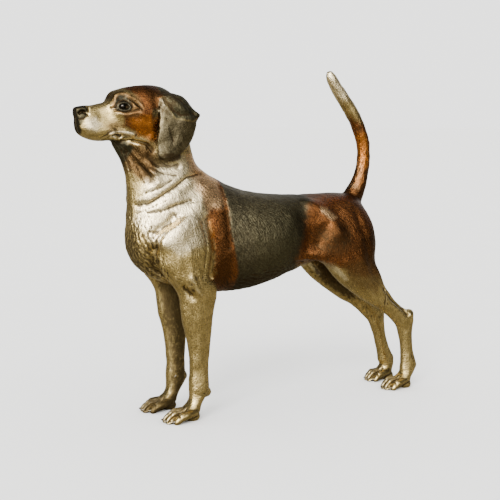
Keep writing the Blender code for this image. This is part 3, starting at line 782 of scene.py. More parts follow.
# %% [markdown]
# ## Fine tooling
# Lids, nostrils, lips, skin folds and tendons need narrower tools than the broad forms. They are the same
# kind of stroke with a reach of about 2 to 12 mm, which the fine clay can hold.

# %% Fine strokes
# The same columns as in the broad table: the path, the reach, the rise or cut, the least distance out.
FINE_STROKES = {
    "eye opening": (((-0.229, 1.284), (-0.218, 1.286), (-0.208, 1.285)), 0.0080, -0.0115, 0.03),
    "upper lid": (
        ((-0.238, 1.282), (-0.229, 1.295), (-0.216, 1.300), (-0.204, 1.295), (-0.194, 1.284)),
        0.0042, 0.0040, 0.03,
    ),
    "lower lid": (
        ((-0.238, 1.279), (-0.228, 1.270), (-0.214, 1.267), (-0.202, 1.272), (-0.194, 1.281)),
        0.0042, 0.0028, 0.03,
    ),
    "crease over the lid": (
        ((-0.246, 1.290), (-0.234, 1.305), (-0.217, 1.311), (-0.202, 1.305), (-0.186, 1.291)),
        0.0048, -0.0032, 0.03,
    ),
    "line under the lid": (
        ((-0.242, 1.268), (-0.220, 1.260), (-0.190, 1.265), (-0.160, 1.272)),
        0.0042, -0.0022, 0.03,
    ),
    "bag under the lid": (((-0.238, 1.256), (-0.205, 1.250), (-0.170, 1.261)), 0.0060, 0.0012, 0.03),
    "tear line": (((-0.264, 1.280), (-0.250, 1.284), (-0.240, 1.282)), 0.0042, -0.0034, 0.03),
    "tear bag": (((-0.266, 1.292), (-0.256, 1.276)), 0.0065, 0.0028, 0.03),
    "hollow of the inner brow": (((-0.232, 1.316), (-0.214, 1.321)), 0.0090, -0.0045, 0.03),
    "fold behind the eye": (((-0.196, 1.304), (-0.182, 1.292), (-0.165, 1.278)), 0.0055, 0.0030, 0.03),
    "ridge behind the eye": (((-0.188, 1.322), (-0.165, 1.309), (-0.145, 1.287)), 0.0055, 0.0016, 0.03),
    "groove behind the eye": (
        ((-0.200, 1.316), (-0.178, 1.305), (-0.158, 1.285), (-0.148, 1.273)),
        0.0040, -0.0026, 0.03,
    ),
    "brow edge": (((-0.262, 1.308), (-0.250, 1.330), (-0.222, 1.340), (-0.190, 1.336)), 0.0100, 0.0010, 0.02),
    "stop crease": (((-0.268, 1.306), (-0.258, 1.328), (-0.246, 1.344)), 0.0065, -0.0035, 0.012),
    "nostril": (((-0.387, 1.258), (-0.380, 1.264), (-0.372, 1.266), (-0.366, 1.262)), 0.0040, -0.0105, 0.008),
    "nostril slit": (((-0.371, 1.266), (-0.361, 1.258), (-0.355, 1.252)), 0.0028, -0.0035, 0.008),
    "wing of the nose": (((-0.386, 1.274), (-0.374, 1.278), (-0.362, 1.273)), 0.0050, 0.0015, 0.008),
    "edge of the nose leather": (
        ((-0.350, 1.292), (-0.349, 1.272), (-0.355, 1.250), (-0.374, 1.237), (-0.392, 1.233)),
        0.0036, -0.0026, 0.01,
    ),
    "mouth": (
        ((-0.296, 1.152), (-0.278, 1.160), (-0.262, 1.167), (-0.243, 1.172), (-0.224, 1.168)),
        0.0044, -0.0140, 0.02,
    ),
    "roll of the upper lip": (
        ((-0.300, 1.158), (-0.283, 1.168), (-0.266, 1.178), (-0.250, 1.182), (-0.216, 1.181),
         (-0.175, 1.174)),
        0.0060, 0.0040, 0.02,
    ),
    "roll of the lower lip": (
        ((-0.264, 1.156), (-0.245, 1.159), (-0.228, 1.156), (-0.218, 1.162)),
        0.0048, 0.0050, 0.02,
    ),
    "flew crease": (((-0.262, 1.212), (-0.252, 1.200), (-0.248, 1.190)), 0.0080, -0.0020, 0.02),
    "edge of the jaw": (
        ((-0.216, 1.148), (-0.180, 1.151), (-0.150, 1.147), (-0.122, 1.138), (-0.100, 1.110)),
        0.0065, -0.0105, 0.03,
    ),
    "cheek muscle": (
        ((-0.150, 1.258), (-0.115, 1.235), (-0.098, 1.190), (-0.112, 1.150)),
        0.0140, 0.0030, 0.05,
    ),
    "front roll of the ear": (
        ((-0.076, 1.332), (-0.060, 1.290), (-0.038, 1.255), (-0.020, 1.236)),
        0.0095, 0.0016, 0.08,
    ),
    "hollow beside the roll": (((-0.052, 1.336), (-0.030, 1.300), (-0.004, 1.262)), 0.0100, -0.0022, 0.08),
    "first wrinkle of the ear": (((-0.078, 1.240), (-0.062, 1.205), (-0.058, 1.170)), 0.0060, -0.0010, 0.08),
    "second wrinkle of the ear": (((-0.055, 1.232), (-0.040, 1.190), (-0.030, 1.150)), 0.0065, -0.0016, 0.08),
    "vein of the ear": (((-0.010, 1.225), (-0.004, 1.180), (-0.020, 1.130)), 0.0070, 0.0010, 0.08),
    "hem of the ear": (
        ((0.078, 1.215), (0.050, 1.150), (0.015, 1.108), (-0.030, 1.086), (-0.070, 1.084)),
        0.0060, 0.0014, 0.08,
    ),
    "top fold of the ear": (
        ((-0.010, 1.350), (0.030, 1.318), (0.062, 1.280), (0.092, 1.252)),
        0.0080, 0.0020, 0.07,
    ),
    "crease under the top fold": (
        ((-0.020, 1.332), (0.018, 1.300), (0.048, 1.266), (0.080, 1.242)),
        0.0070, -0.0028, 0.07,
    ),
    "throat cord": (
        ((-0.213, 1.112), (-0.205, 1.057), (-0.198, 1.000), (-0.193, 0.938)),
        0.0060, -0.0032, 0.02,
    ),
    "first strap of the neck": (
        ((-0.190, 1.130), (-0.160, 1.090), (-0.128, 1.050), (-0.100, 1.020)),
        0.0080, 0.0055, 0.03,
    ),
    "groove beside the strap": (
        ((-0.205, 1.118), (-0.174, 1.076), (-0.150, 1.030), (-0.135, 0.985)),
        0.0070, -0.0034, 0.03,
    ),
    "hollow under the ear": (
        ((-0.120, 1.085), (-0.085, 1.060), (-0.040, 1.048), (0.000, 1.050)),
        0.0140, -0.0090, 0.05,
    ),
    "fold under the ear": (((-0.110, 1.040), (-0.060, 1.018), (-0.010, 1.010)), 0.0070, -0.0028, 0.05),
    "sharp line of the long fold": (
        ((0.100, 1.012), (0.038, 1.000), (-0.016, 0.964), (-0.060, 0.938), (-0.126, 0.896)),
        0.0042, -0.0032, 0.04,
    ),
    "upper breast fold": (
        ((0.051, 0.912), (0.010, 0.900), (-0.016, 0.893), (-0.080, 0.870), (-0.130, 0.866)),
        0.0060, -0.0036, 0.04,
    ),
    "lower breast fold": (
        ((-0.030, 0.828), (-0.061, 0.812), (-0.097, 0.788), (-0.130, 0.784)),
        0.0070, -0.0042, 0.04,
    ),
    "first ripple of the neck": (((-0.030, 0.992), (-0.080, 0.962), (-0.130, 0.944)), 0.0060, -0.0024, 0.04),
    "second ripple of the neck": (((-0.060, 0.912), (-0.110, 0.890), (-0.160, 0.862)), 0.0060, -0.0024, 0.04),
    "bright ridge of the shoulder": (
        ((-0.108, 0.752), (-0.080, 0.790), (-0.020, 0.820), (0.040, 0.856)),
        0.0150, 0.0050, 0.06,
    ),
    "point of the shoulder": (((-0.104, 0.760), (-0.100, 0.735)), 0.0150, 0.0050, 0.06),
    "triceps edge": (((0.085, 0.820), (0.098, 0.740), (0.090, 0.660), (0.075, 0.600)), 0.0080, -0.0038, 0.08),
    "biceps cord": (((0.010, 0.720), (0.020, 0.650), (0.022, 0.590)), 0.0120, 0.0032, 0.08),
    "elbow triangle": (((-0.002, 0.558), (0.016, 0.542), (0.030, 0.530)), 0.0070, -0.0060, 0.12),
    "cord above the elbow": (((0.012, 0.572), (0.034, 0.560), (0.052, 0.540)), 0.0070, 0.0030, 0.12),
    "point of the elbow": (((0.130, 0.566), (0.142, 0.540)), 0.0110, 0.0040, 0.10),
    "crease at the shoulder's back edge": (
        ((0.205, 0.950), (0.208, 0.860), (0.214, 0.780), (0.222, 0.730)),
        0.0045, -0.0022, 0.06,
    ),
    "forearm tendon": (
        ((0.118, 0.480), (0.108, 0.380), (0.104, 0.260), (0.108, 0.160)),
        0.0090, -0.0020, 0.08,
    ),
    "forearm bone": (((0.060, 0.470), (0.070, 0.360), (0.078, 0.240)), 0.0130, 0.0024, 0.11),
    "wrist crease": (((0.046, 0.116), (0.070, 0.108), (0.100, 0.112)), 0.0060, -0.0015, 0.09),
    "flank fold": (
        ((0.545, 0.640), (0.600, 0.636), (0.666, 0.632), (0.719, 0.606), (0.785, 0.550), (0.832, 0.506)),
        0.0080, 0.0045, 0.08,
    ),
    "front edge of the thigh": (
        ((0.650, 0.830), (0.622, 0.770), (0.604, 0.700), (0.570, 0.655)),
        0.0160, -0.0012, 0.08,
    ),
    "thigh line": (((0.770, 0.800), (0.800, 0.700), (0.820, 0.620), (0.870, 0.560)), 0.0200, -0.0008, 0.08),
    "gaskin bone": (((0.860, 0.520), (0.930, 0.450), (1.000, 0.400)), 0.0090, 0.0030, 0.09),
    "tendon of the hock": (
        ((1.000, 0.478), (1.055, 0.420), (1.110, 0.380), (1.158, 0.350)),
        0.0070, -0.0036, 0.05,
    ),
    "pale tendon edge": (((1.019, 0.470), (1.020, 0.400)), 0.0032, 0.0040, 0.09),
    "point of the hock": (((1.150, 0.362), (1.168, 0.340)), 0.0090, 0.0045, 0.06),
    "cannon tendon": (((1.170, 0.300), (1.174, 0.220), (1.182, 0.140)), 0.0075, -0.0022, 0.06),
}

FINE_MIDDLE_STROKES = {
    "groove of the nose": (((-0.398, 1.280), (-0.401, 1.262), (-0.398, 1.244)), 0.004, -0.004),
    "parting of the lip": (((-0.398, 1.240), (-0.398, 1.205), (-0.388, 1.180)), 0.004, -0.005),
    "parting of the forehead": (((-0.255, 1.330), (-0.225, 1.352), (-0.170, 1.366)), 0.008, -0.004),
    "ridge of the spine": (((0.230, 0.985), (0.450, 0.925), (0.700, 0.912)), 0.012, 0.002),
}

clay_before = points_of(clay)
work_strokes(clay, FINE_STROKES, FINE_MIDDLE_STROKES)
furthest = np.abs(points_of(clay) - clay_before).max()
fine_count = len(FINE_STROKES) + len(FINE_MIDDLE_STROKES)
print(fine_count, "fine strokes worked, the deepest", round(1000 * furthest, 1), "mm")

# %% [markdown]
# ## Toes
# Seen from above, a dog's toes are separate beads with deep gaps between them and a crease at each joint.
# Strokes on a side view can't reach between toes, so these are drawn on the plan instead. The toe table
# already says where every toe runs, and the gaps follow from it.

# %% Gaps and knuckles
# The reach and the rise or cut of each kind of toe stroke, then how high on the paw they work.
TOE_GAP = (0.0042, -0.0100)
KNUCKLE = (0.0085, 0.0028)
TOE_CREASE = (0.0034, -0.0030)
PAW_TOP = 0.062
PAW_TOP_FADE = 0.02
TOE_EDGE_ROUNDS = 2


def plan_rise(points, path, reach, rise, mask):
    """How far each point moves for one stroke drawn on the plan."""
    near = np.flatnonzero(mask)
    fade = np.zeros(len(points))
    fade[near] = np.exp(-((distance_to_path(points[near][:, :2], path) / reach) ** 2))
    return rise * fade


def toe_strokes(side, track, toes, shift):
    """Plan strokes of one paw: a gap between each two toes, then a knuckle and a crease on each toe."""
    strokes = []
    for (out, knuckle, arch, tip, _), (next_out, *_, next_tip, _) in zip(toes, toes[1:]):
        y = side * (track + (out + next_out) / 2)
        root = side * (track + TOE_ROOT_SPREAD * (out + next_out) / 2)
        front = min(tip, next_tip) - 0.012
        strokes.append((((knuckle + 0.030 + shift, root), (arch + shift, y), (front + shift, y)), *TOE_GAP))
    for out, _, arch, tip, radius in toes:
        y = side * (track + out)
        x = arch + shift
        strokes.append((((x + 0.004, y), (x - 0.004, y)), *KNUCKLE))
        crease = (tip + arch) / 2 + shift - 0.001
        strokes.append((((crease, y - 0.7 * radius), (crease, y + 0.7 * radius)), *TOE_CREASE))
    return strokes


def work_toes(mesh):
    points = points_of(mesh) / WITHERS_HEIGHT
    normals = normals_of(mesh)
    mask = (points[:, 2] < PAW_TOP) & (normals[:, 2] > -0.1)
    rise = np.zeros(len(points))
    count = 0
    for side in SIDES.values():
        for track, toes, _, shift in paws_of(side):
            for path, reach, height in toe_strokes(side, track, toes, shift):
                rise += plan_rise(points, path, reach, height, mask)
                count += 1
    low = np.clip((PAW_TOP - points[:, 2]) / PAW_TOP_FADE, 0, 1)
    set_points(mesh, (points + normals * (rise * low)[:, None]) * WITHERS_HEIGHT)
    return count


def evened(mesh, rounds):
    """A light smoothing that takes the saw-teeth off thin edges."""
    obj = placed("clay", mesh)
    smooth = obj.modifiers.new("evened", "SMOOTH")
    smooth.factor = 0.5
    smooth.iterations = rounds
    return evaluated_mesh(obj)


print(work_toes(clay), "toe strokes worked")
clay = evened(clay, TOE_EDGE_ROUNDS)

# %% [markdown]
# ## Measuring relief
# Dirt settles in hollows and hands rub the high points bright, so the materials have to know which is
# which. A point stands out when it lies above the average of its neighbourhood. That average is found by
# evening the points out a few times along the mesh edges. It is measured on the clay, whose facets are all
# the same size.

# %% Relief of the surface
# A coarser clay is evened fewer times, so that the neighbourhood stays the same size in millimetres.
RELIEF_ROUNDS = round(8 * (0.0033 * WITHERS_HEIGHT / CLAY_CELL) ** 2)
RELIEF_SCALE = 0.00035
BROAD_ROUNDS = 5 * RELIEF_ROUNDS


def detail_share(points):
    """Where facets are kept small: 1 on the face and the paws, 0 on the body."""
    x, y, z = (points / WITHERS_HEIGHT).T
    face = np.clip((z - 1.12) / 0.02, 0, 1) * np.clip((-0.08 - x) / 0.04, 0, 1)
    paws = np.clip((0.075 - z) / 0.02, 0, 1)
    return np.maximum(face, paws)


def with_attribute(mesh, name, kind, values):
    field = "vector" if kind == "FLOAT_VECTOR" else "value"
    mesh.attributes.new(name, kind, "POINT").data.foreach_set(field, np.asarray(values, np.float32).ravel())


def edges_of(mesh):
    """The two point numbers of every edge."""
    edges = np.empty(len(mesh.edges) * 2, np.int64)
    mesh.edges.foreach_get("vertices", edges)
    return edges.reshape(-1, 2)


def relaxed(values, edges, rounds):
    """Values on the points, evened out with their neighbours this many times."""
    count = np.maximum(np.bincount(edges.ravel(), minlength=len(values)), 1)[:, None]
    for _ in range(rounds):
        total = np.empty_like(values)
        for column in range(values.shape[1]):
            total[:, column] = np.bincount(edges[:, 0], values[edges[:, 1], column], len(values))
            total[:, column] += np.bincount(edges[:, 1], values[edges[:, 0], column], len(values))
        values = 0.5 * values + 0.5 * total / count
    return values


def relief(mesh):
    """How far each point stands out of (over 0) or sinks into (under 0) its surroundings, -1 to 1."""
    points = points_of(mesh)
    edges = edges_of(mesh)
    offset = np.sum((points - relaxed(points, edges, RELIEF_ROUNDS)) * normals_of(mesh), axis=1)[:, None]
    offset -= relaxed(offset, edges, BROAD_ROUNDS)
    return np.clip(offset[:, 0] / RELIEF_SCALE, -1, 1)


print("relief is measured over", RELIEF_ROUNDS, "and", BROAD_ROUNDS, "rounds")

# %% [markdown]
# ## Uneven by hand
# Clay smoothed by hand is never quite true. Slow, low waves of about a millimetre at most break up the long
# highlights that a perfect surface would have. A noise function from mathutils gives the same waves on each
# run.

# %% Slow waves
# Two sets of waves: their length and height, and how much of them the face and the paws are spared.
WAVE_LENGTHS = ((0.050, 0.0016), (0.022, 0.0007))
WAVE_SPARED = 0.7


def wave_height(points):
    """Slow waves, in shares of the withers height, weaker on the face and the paws."""
    total = np.zeros(len(points))
    for length, height in WAVE_LENGTHS:
        total += height * np.array([noise_at(Vector(point) / length) for point in points])
    return total * (1 - WAVE_SPARED * detail_share(points * WITHERS_HEIGHT))


clay_points = points_of(clay) / WITHERS_HEIGHT
waves = wave_height(clay_points)
set_points(clay, (clay_points + normals_of(clay) * waves[:, None]) * WITHERS_HEIGHT)
print("waves of up to", round(1000 * WITHERS_HEIGHT * float(np.abs(waves).max()), 2), "mm")

# %% [markdown]
# ## Locks of coat
# The coat is modelled as short curved locks, raised about a millimetre on the breast and a few tenths of
# one elsewhere. Each is a small ridge with a groove on either side, laid along the way the hair lies. A
# table of directions says which way that is, and every point between takes a blend. A fixed seed keeps the
# scatter the same every time.

# %% Which way the coat lies
# Places on the side view, x and z, and the way the hair lies there, along x and along z.
LIE = (
    (-0.340, 1.220, 1.0, 0.05),
    (-0.250, 1.330, 0.8, 0.50),
    (-0.130, 1.350, 1.0, -0.10),
    (-0.150, 1.200, 0.8, -0.50),
    (-0.020, 1.200, 0.1, -1.00),
    (-0.060, 1.060, 0.5, -0.85),
    (0.060, 1.080, 0.7, -0.70),
    (-0.190, 0.980, 0.1, -1.00),
    (-0.160, 0.800, 0.3, -0.95),
    (-0.150, 0.660, 0.7, -0.70),
    (0.050, 0.820, 0.3, -0.95),
    (0.040, 0.620, 0.1, -1.00),
    (0.080, 0.300, 0.0, -1.00),
    (0.020, 0.030, -1.0, -0.10),
    (0.180, 0.920, 0.8, -0.60),
    (0.400, 0.900, 0.9, -0.40),
    (0.400, 0.740, 0.3, -0.95),
    (0.400, 0.560, 0.9, -0.20),
    (0.640, 0.860, 0.7, -0.70),
    (0.620, 0.660, 0.5, -0.85),
    (0.850, 0.850, 0.7, -0.70),
    (0.800, 0.680, 0.3, -0.95),
    (0.950, 0.520, 0.6, -0.80),
    (1.160, 0.250, 0.0, -1.00),
    (1.100, 0.030, -1.0, -0.10),
    (0.960, 1.000, 0.1, 1.00),
    (0.950, 1.180, -0.3, 0.95),
    (0.850, 1.350, -0.6, 0.80),
)


def lie_of(points, normals):
    """The way the coat lies at each point, along the surface. Points are in shares."""
    table = np.array(LIE)
    flat = points[:, (0, 2)]
    total = np.zeros((len(points), 2))
    for x, z, along_x, along_z in table:
        weight = 1.0 / (np.sum((flat - (x, z)) ** 2, axis=1) + 1e-4) ** 1.5
        total += weight[:, None] * (along_x, along_z)
    lie = np.column_stack((total[:, 0], np.zeros(len(points)), total[:, 1]))
    lie -= normals * np.sum(lie * normals, axis=1)[:, None]
    return lie / np.maximum(np.linalg.norm(lie, axis=1), 1e-9)[:, None]


print(len(LIE), "directions of the coat")

# %% Working the locks
# The depth of the grooves, then how far locks turn and curl and how their sizes differ, all at random. Where
# locks overlap, they rise no higher than the limit, a share of the tallest.
LOCK_SEED = 7
LOCK_SIDES = 2.6
LOCK_TURN = 0.30
LOCK_CURL = 9.0
LOCK_SIZES = (0.7, 1.2)
LOCK_LIMIT = 1.3

# Zones of locks: an outline on the side view, how many, then half length, half width and rise.
LOCK_ZONES = {
    "breast curls": (
        ((-0.225, 0.860), (-0.125, 0.830), (-0.110, 0.720), (-0.060, 0.600), (-0.090, 0.560),
         (-0.225, 0.680)),
        620, 0.014, 0.0068, 0.0019,
    ),
    "upper breast": (
        ((-0.225, 0.960), (-0.090, 0.930), (-0.100, 0.810), (-0.225, 0.830)),
        360, 0.013, 0.0056, 0.0005,
    ),
    "neck": (
        ((-0.230, 1.080), (-0.060, 1.020), (0.100, 1.030), (0.060, 0.900), (-0.220, 0.900)),
        560, 0.021, 0.0052, 0.00015,
    ),
    "shoulder and arm": (
        ((-0.110, 0.900), (0.140, 0.980), (0.160, 0.560), (-0.060, 0.560)),
        600, 0.022, 0.0052, 0.0005,
    ),
    "saddle": (((0.200, 0.990), (0.200, 0.520), (0.560, 0.560), (0.700, 0.920)), 1200, 0.026, 0.0055, 0.0004),
    "thigh and rump": (
        ((0.560, 0.660), (0.660, 0.920), (0.960, 0.920), (1.060, 0.480), (0.780, 0.520)),
        900, 0.024, 0.0055, 0.0004,
    ),
    "gaskin": (((0.780, 0.560), (1.040, 0.540), (1.200, 0.300), (1.060, 0.300)), 300, 0.020, 0.0045, 0.0005),
    "belly": (((0.200, 0.580), (0.200, 0.480), (0.600, 0.540), (0.600, 0.640)), 300, 0.022, 0.0055, 0.0009),
    "tail": (
        ((0.740, 1.460), (0.840, 1.460), (1.040, 1.200), (1.040, 0.920), (0.880, 0.920), (0.880, 1.200)),
        520, 0.022, 0.0046, 0.0007,
    ),
    "forearm": (
        ((-0.010, 0.540), (0.160, 0.540), (0.140, 0.100), (0.030, 0.100)),
        420, 0.020, 0.0044, 0.0004,
    ),
}


def inside(flat, outline):
    """Whether each flat point lies inside a closed outline."""
    found = np.zeros(len(flat), bool)
    corners = np.array(outline)
    for (ax, az), (bx, bz) in zip(corners, np.roll(corners, -1, axis=0)):
        crosses = (flat[:, 1] < az) != (flat[:, 1] < bz)
        at = ax + (flat[:, 1] - az) * (bx - ax) / (bz - az + 1e-12)
        found ^= crosses & (flat[:, 0] < at)
    return found


def work_locks(mesh):
    """Raises every zone's locks, each a curved ridge between two shallow grooves."""
    rng = np.random.default_rng(LOCK_SEED)
    points = points_of(mesh) / WITHERS_HEIGHT
    normals = normals_of(mesh)
    lie = lie_of(points, normals)
    rise = np.zeros(len(points))
    tree = KDTree(len(points))
    for i, point in enumerate(points):
        tree.insert(point, i)
    tree.balance()
    made = 0
    for outline, count, half_length, half_width, height in LOCK_ZONES.values():
        choices = np.flatnonzero(inside(points[:, (0, 2)], outline))
        for centre in rng.choice(choices, count):
            turn = rng.normal(0.0, LOCK_TURN)
            curl = rng.normal(0.0, LOCK_CURL)
            size = rng.uniform(*LOCK_SIZES)
            near = np.array([found[1] for found in tree.find_range(points[centre], half_length * size)])
            along = lie[centre] * math.cos(turn) + np.cross(normals[centre], lie[centre]) * math.sin(turn)
            across = np.cross(normals[centre], along)
            offset = points[near] - points[centre]
            u = offset @ along
            v = (offset @ across - curl * u**2) / (half_width * size)
            taper = np.clip(1 - (u / (half_length * size)) ** 2, 0, 1)
            facing = np.clip(normals[near] @ normals[centre], 0, 1)
            ridge = (1 - LOCK_SIDES * v**2 / 2) * np.exp(-(v**2))
            rise[near] += height * size * taper * facing * ridge
            made += 1
    limit = max(zone[-1] for zone in LOCK_ZONES.values()) * LOCK_LIMIT
    rise = limit * np.tanh(rise / limit)
    set_points(mesh, (points + normals * rise[:, None]) * WITHERS_HEIGHT)
    return made

# %% [markdown]
# ## The front edge of the ears
# The strokes leave the thin front edge of each ear a little ragged, where a chaser would run a file along
# it. The points in a band along that edge are evened out with their neighbours, most of all in the middle
# of the band. The ridges are measured next, and the locks are raised last, so that wear follows the forms
# and not each hair.

# %% Even the ears, measure the ridges, raise the locks
EAR_EDGE = ((-0.080, 1.345), (-0.086, 1.300), (-0.088, 1.240), (-0.090, 1.180), (-0.092, 1.120))
EAR_EDGE_REACH = 0.018
EAR_EDGE_ROUNDS = 16


def even_along(mesh, path, reach, rounds):
    """Smooths a band along a path on the side view, most in its middle."""
    points = points_of(mesh)
    away = distance_to_path(points[:, (0, 2)] / WITHERS_HEIGHT, path)
    share = np.sqrt(np.clip(1 - away / reach, 0, 1))
    set_points(mesh, points + (relaxed(points, edges_of(mesh), rounds) - points) * share[:, None])
    return int(np.count_nonzero(share))


print(even_along(clay, EAR_EDGE, EAR_EDGE_REACH, EAR_EDGE_ROUNDS), "points evened along the ears")
clay_high = relief(clay)
print(work_locks(clay), "locks worked")

# %% [markdown]
# ## Casting
# The fine clay has some 360,000 facets with four sides, more than a reusable model should carry. A Decimate
# modifier keeps them where the face and paws need them. The soles are then cut level at the ground, as a
# founder grinds the feet flat, and the figure is set in the frame's own place.

# %% Decimate, level the soles, set in place
SKIN_TRIANGLES = 186000
DETAIL_WEIGHT = 0.006
DETAIL_SPARED = 0.5
BOX_GIVE = 0.004


def thinned(mesh):
    """The mesh with fewer facets, spared on the face and the paws."""
    obj = placed("clay", mesh)
    weigh_points(obj, "broad forms", np.round(1.0 - DETAIL_SPARED * detail_share(points_of(mesh)), 1))
    facets = obj.modifiers.new("facets", "DECIMATE")
    facets.ratio = min(1.0, SKIN_TRIANGLES / (2 * len(mesh.polygons)))
    facets.vertex_group = "broad forms"
    facets.vertex_group_factor = DETAIL_WEIGHT
    return evaluated_mesh(obj)


def level_soles(mesh):
    """Cuts away everything below the ground and closes the cuts with flat faces."""
    shell = bmesh.new()
    shell.from_mesh(mesh)
    everything = shell.verts[:] + shell.edges[:] + shell.faces[:]
    bmesh.ops.bisect_plane(shell, geom=everything, plane_co=(0, 0, 0), plane_no=(0, 0, 1), clear_inner=True)
    rims = [edge for edge in shell.edges if edge.is_boundary]
    made = bmesh.ops.holes_fill(shell, edges=rims, sides=0)["faces"]
    bmesh.ops.triangulate(shell, faces=made)
    bmesh.ops.recalc_face_normals(shell, faces=shell.faces)
    shell.to_mesh(mesh)
    shell.free()


def press_into_box(mesh):
    """Eases the last millimetres of nose, flanks and heels back inside the sides of the CAD box."""
    points = points_of(mesh)
    for axis in (0, 1):
        for outward, wall in ((-1, cad_box[0][axis]), (1, cad_box[1][axis])):
            start = wall - outward * BOX_GIVE
            past = outward * (points[:, axis] - start) / BOX_GIVE
            points[:, axis] = np.where(past > 0, start + outward * BOX_GIVE * np.tanh(past), points[:, axis])
    set_points(mesh, points)


clay_hollow = np.clip(-relief(clay), 0, 1)
with_attribute(clay, "hollow", "FLOAT", clay_hollow)
with_attribute(clay, "ridge", "FLOAT", np.clip(clay_high, 0, 1))
in_hollows = round(float(np.mean(clay_hollow > 0.5)), 3)
on_ridges = round(float(np.mean(clay_high > 0.5)), 3)
print("in hollows", in_hollows, "on ridges", on_ridges)
skin = thinned(clay)
level_soles(skin)
skin_points = points_of(skin)
middle = (skin_points.min(axis=0) + skin_points.max(axis=0)) / 2
cad_middle = (cad_box[0] + cad_box[1]) / 2
SET_IN_PLACE = Matrix.Translation((cad_middle.x - middle[0], cad_middle.y - middle[1], 0.0))
skin.transform(SET_IN_PLACE)
press_into_box(skin)
print("skin", len(skin.polygons), "facets, moved", [round(v, 4) for v in SET_IN_PLACE.translation])

# %% [markdown]
# ## Eyes
# On the real dog the eyes are part of the casting, polished until they shine between the lids. Here they
# are two small closed balls behind the openings that the fine strokes made. How far out each sits is
# measured on the clay, so that it follows any change to the head.

# %% Eyes
EYE_CENTRE = (-0.218, 1.285)
EYE_RADIUS = 0.0120
EYE_STANDS_OUT = -0.0046
EYE_SURROUNDINGS = 0.030
FACE_LEAST_Y = 0.03
FACE_PERCENTILE = 80


def side_of_head(mesh_points, x, z, side):
    """How far out the skin stands at this place on the side view, in shares."""
    near = np.hypot(mesh_points[:, 0] - x, mesh_points[:, 2] - z) < EYE_SURROUNDINGS
    near &= mesh_points[:, 1] * side > FACE_LEAST_Y
    return np.percentile(np.abs(mesh_points[near, 1]), FACE_PERCENTILE)


def eyeballs(clay_points):
    """Two closed balls that look out between the lids."""
    shells = []
    for side in SIDES.values():
        out = side_of_head(clay_points, *EYE_CENTRE, side) - EYE_RADIUS + EYE_STANDS_OUT
        shells.append(lump((EYE_CENTRE[0], side * out, EYE_CENTRE[1]), (EYE_RADIUS,) * 3))
        print("eyeball centre", round(out, 3), "of the withers height from the middle")
    return shells


eyes = joined_mesh("eyes", eyeballs(points_of(clay) / WITHERS_HEIGHT))
eyes.transform(SET_IN_PLACE)

# %% [markdown]
# ## Claws
# Each toe ends in a short curved claw, and with the two dewclaws the casting repeats one form eighteen
# times. That is work for Geometry Nodes: a mesh with one point for each claw carries the way it aims and
# how stout it is, and the tree sweeps a tapering tube along a bent curve on every point. The tree ends in
# Realize Instances, so that the result is plain mesh.

# %% Node helpers
def give(tree, socket, value):
    """Links an output into a socket, or sets the socket to a plain value."""
    if isinstance(value, bpy.types.NodeSocket):
        tree.links.new(value, socket)
    else:
        socket.default_value = value


def give_named(tree, node, values):
    """Gives a node's sockets by name. An underscore stands for a space."""
    for name, value in values.items():
        give(tree, node.inputs[name.replace("_", " ")], value)


def made_node(tree, kind, **values):
    """A new node with some of its sockets given by name."""
    node = tree.nodes.new(kind)
    give_named(tree, node, values)
    return node


def maths(tree, operation, first, second=0.0, third=0.0):
    node = tree.nodes.new("ShaderNodeMath")
    node.operation = operation
    for socket, value in zip(node.inputs, (first, second, third)):
        give(tree, socket, value)
    return node.outputs[0]


def spread(tree, value, low, high, to_low=0.0, to_high=1.0):
    """The value stretched from low and high to the new ends, smoothly, and held between them."""
    ends = {"From_Min": low, "From_Max": high, "To_Min": to_low, "To_Max": to_high}
    node = made_node(tree, "ShaderNodeMapRange", Value=value, **ends)
    node.interpolation_type = "SMOOTHSTEP"
    return node.outputs["Result"]

# %% Claw tree
# The claw's length and girth, how far it bends down, its sides, and the steps along it. The curve's knee is a
# share of the length, and the tube thins along the two taper stations to a share of its girth.
CLAW_LENGTH = 0.0135 * WITHERS_HEIGHT
CLAW_GIRTH = 0.0056 * WITHERS_HEIGHT
CLAW_BEND = 0.45
CLAW_SIDES = 10
CLAW_STEPS = 8
CLAW_KNEE = 0.55
CLAW_TAPER = (0.1, 1.15)
CLAW_TIP = 0.30


def new_tree(name, sizes):
    """A Geometry Nodes tree with a mesh in, a mesh out and named size inputs."""
    tree = bpy.data.node_groups.new(name, "GeometryNodeTree")
    tree.interface.new_socket("Geometry", in_out="INPUT", socket_type="NodeSocketGeometry")
    tree.interface.new_socket("Geometry", in_out="OUTPUT", socket_type="NodeSocketGeometry")
    for size, kind in sizes:
        tree.interface.new_socket(size, in_out="INPUT", socket_type=kind)
    return tree


def stored_on_points(tree, name, kind):
    """The values that the host mesh carries under this name."""
    node = made_node(tree, "GeometryNodeInputNamedAttribute", Name=name)
    node.data_type = kind
    return node.outputs["Attribute"]


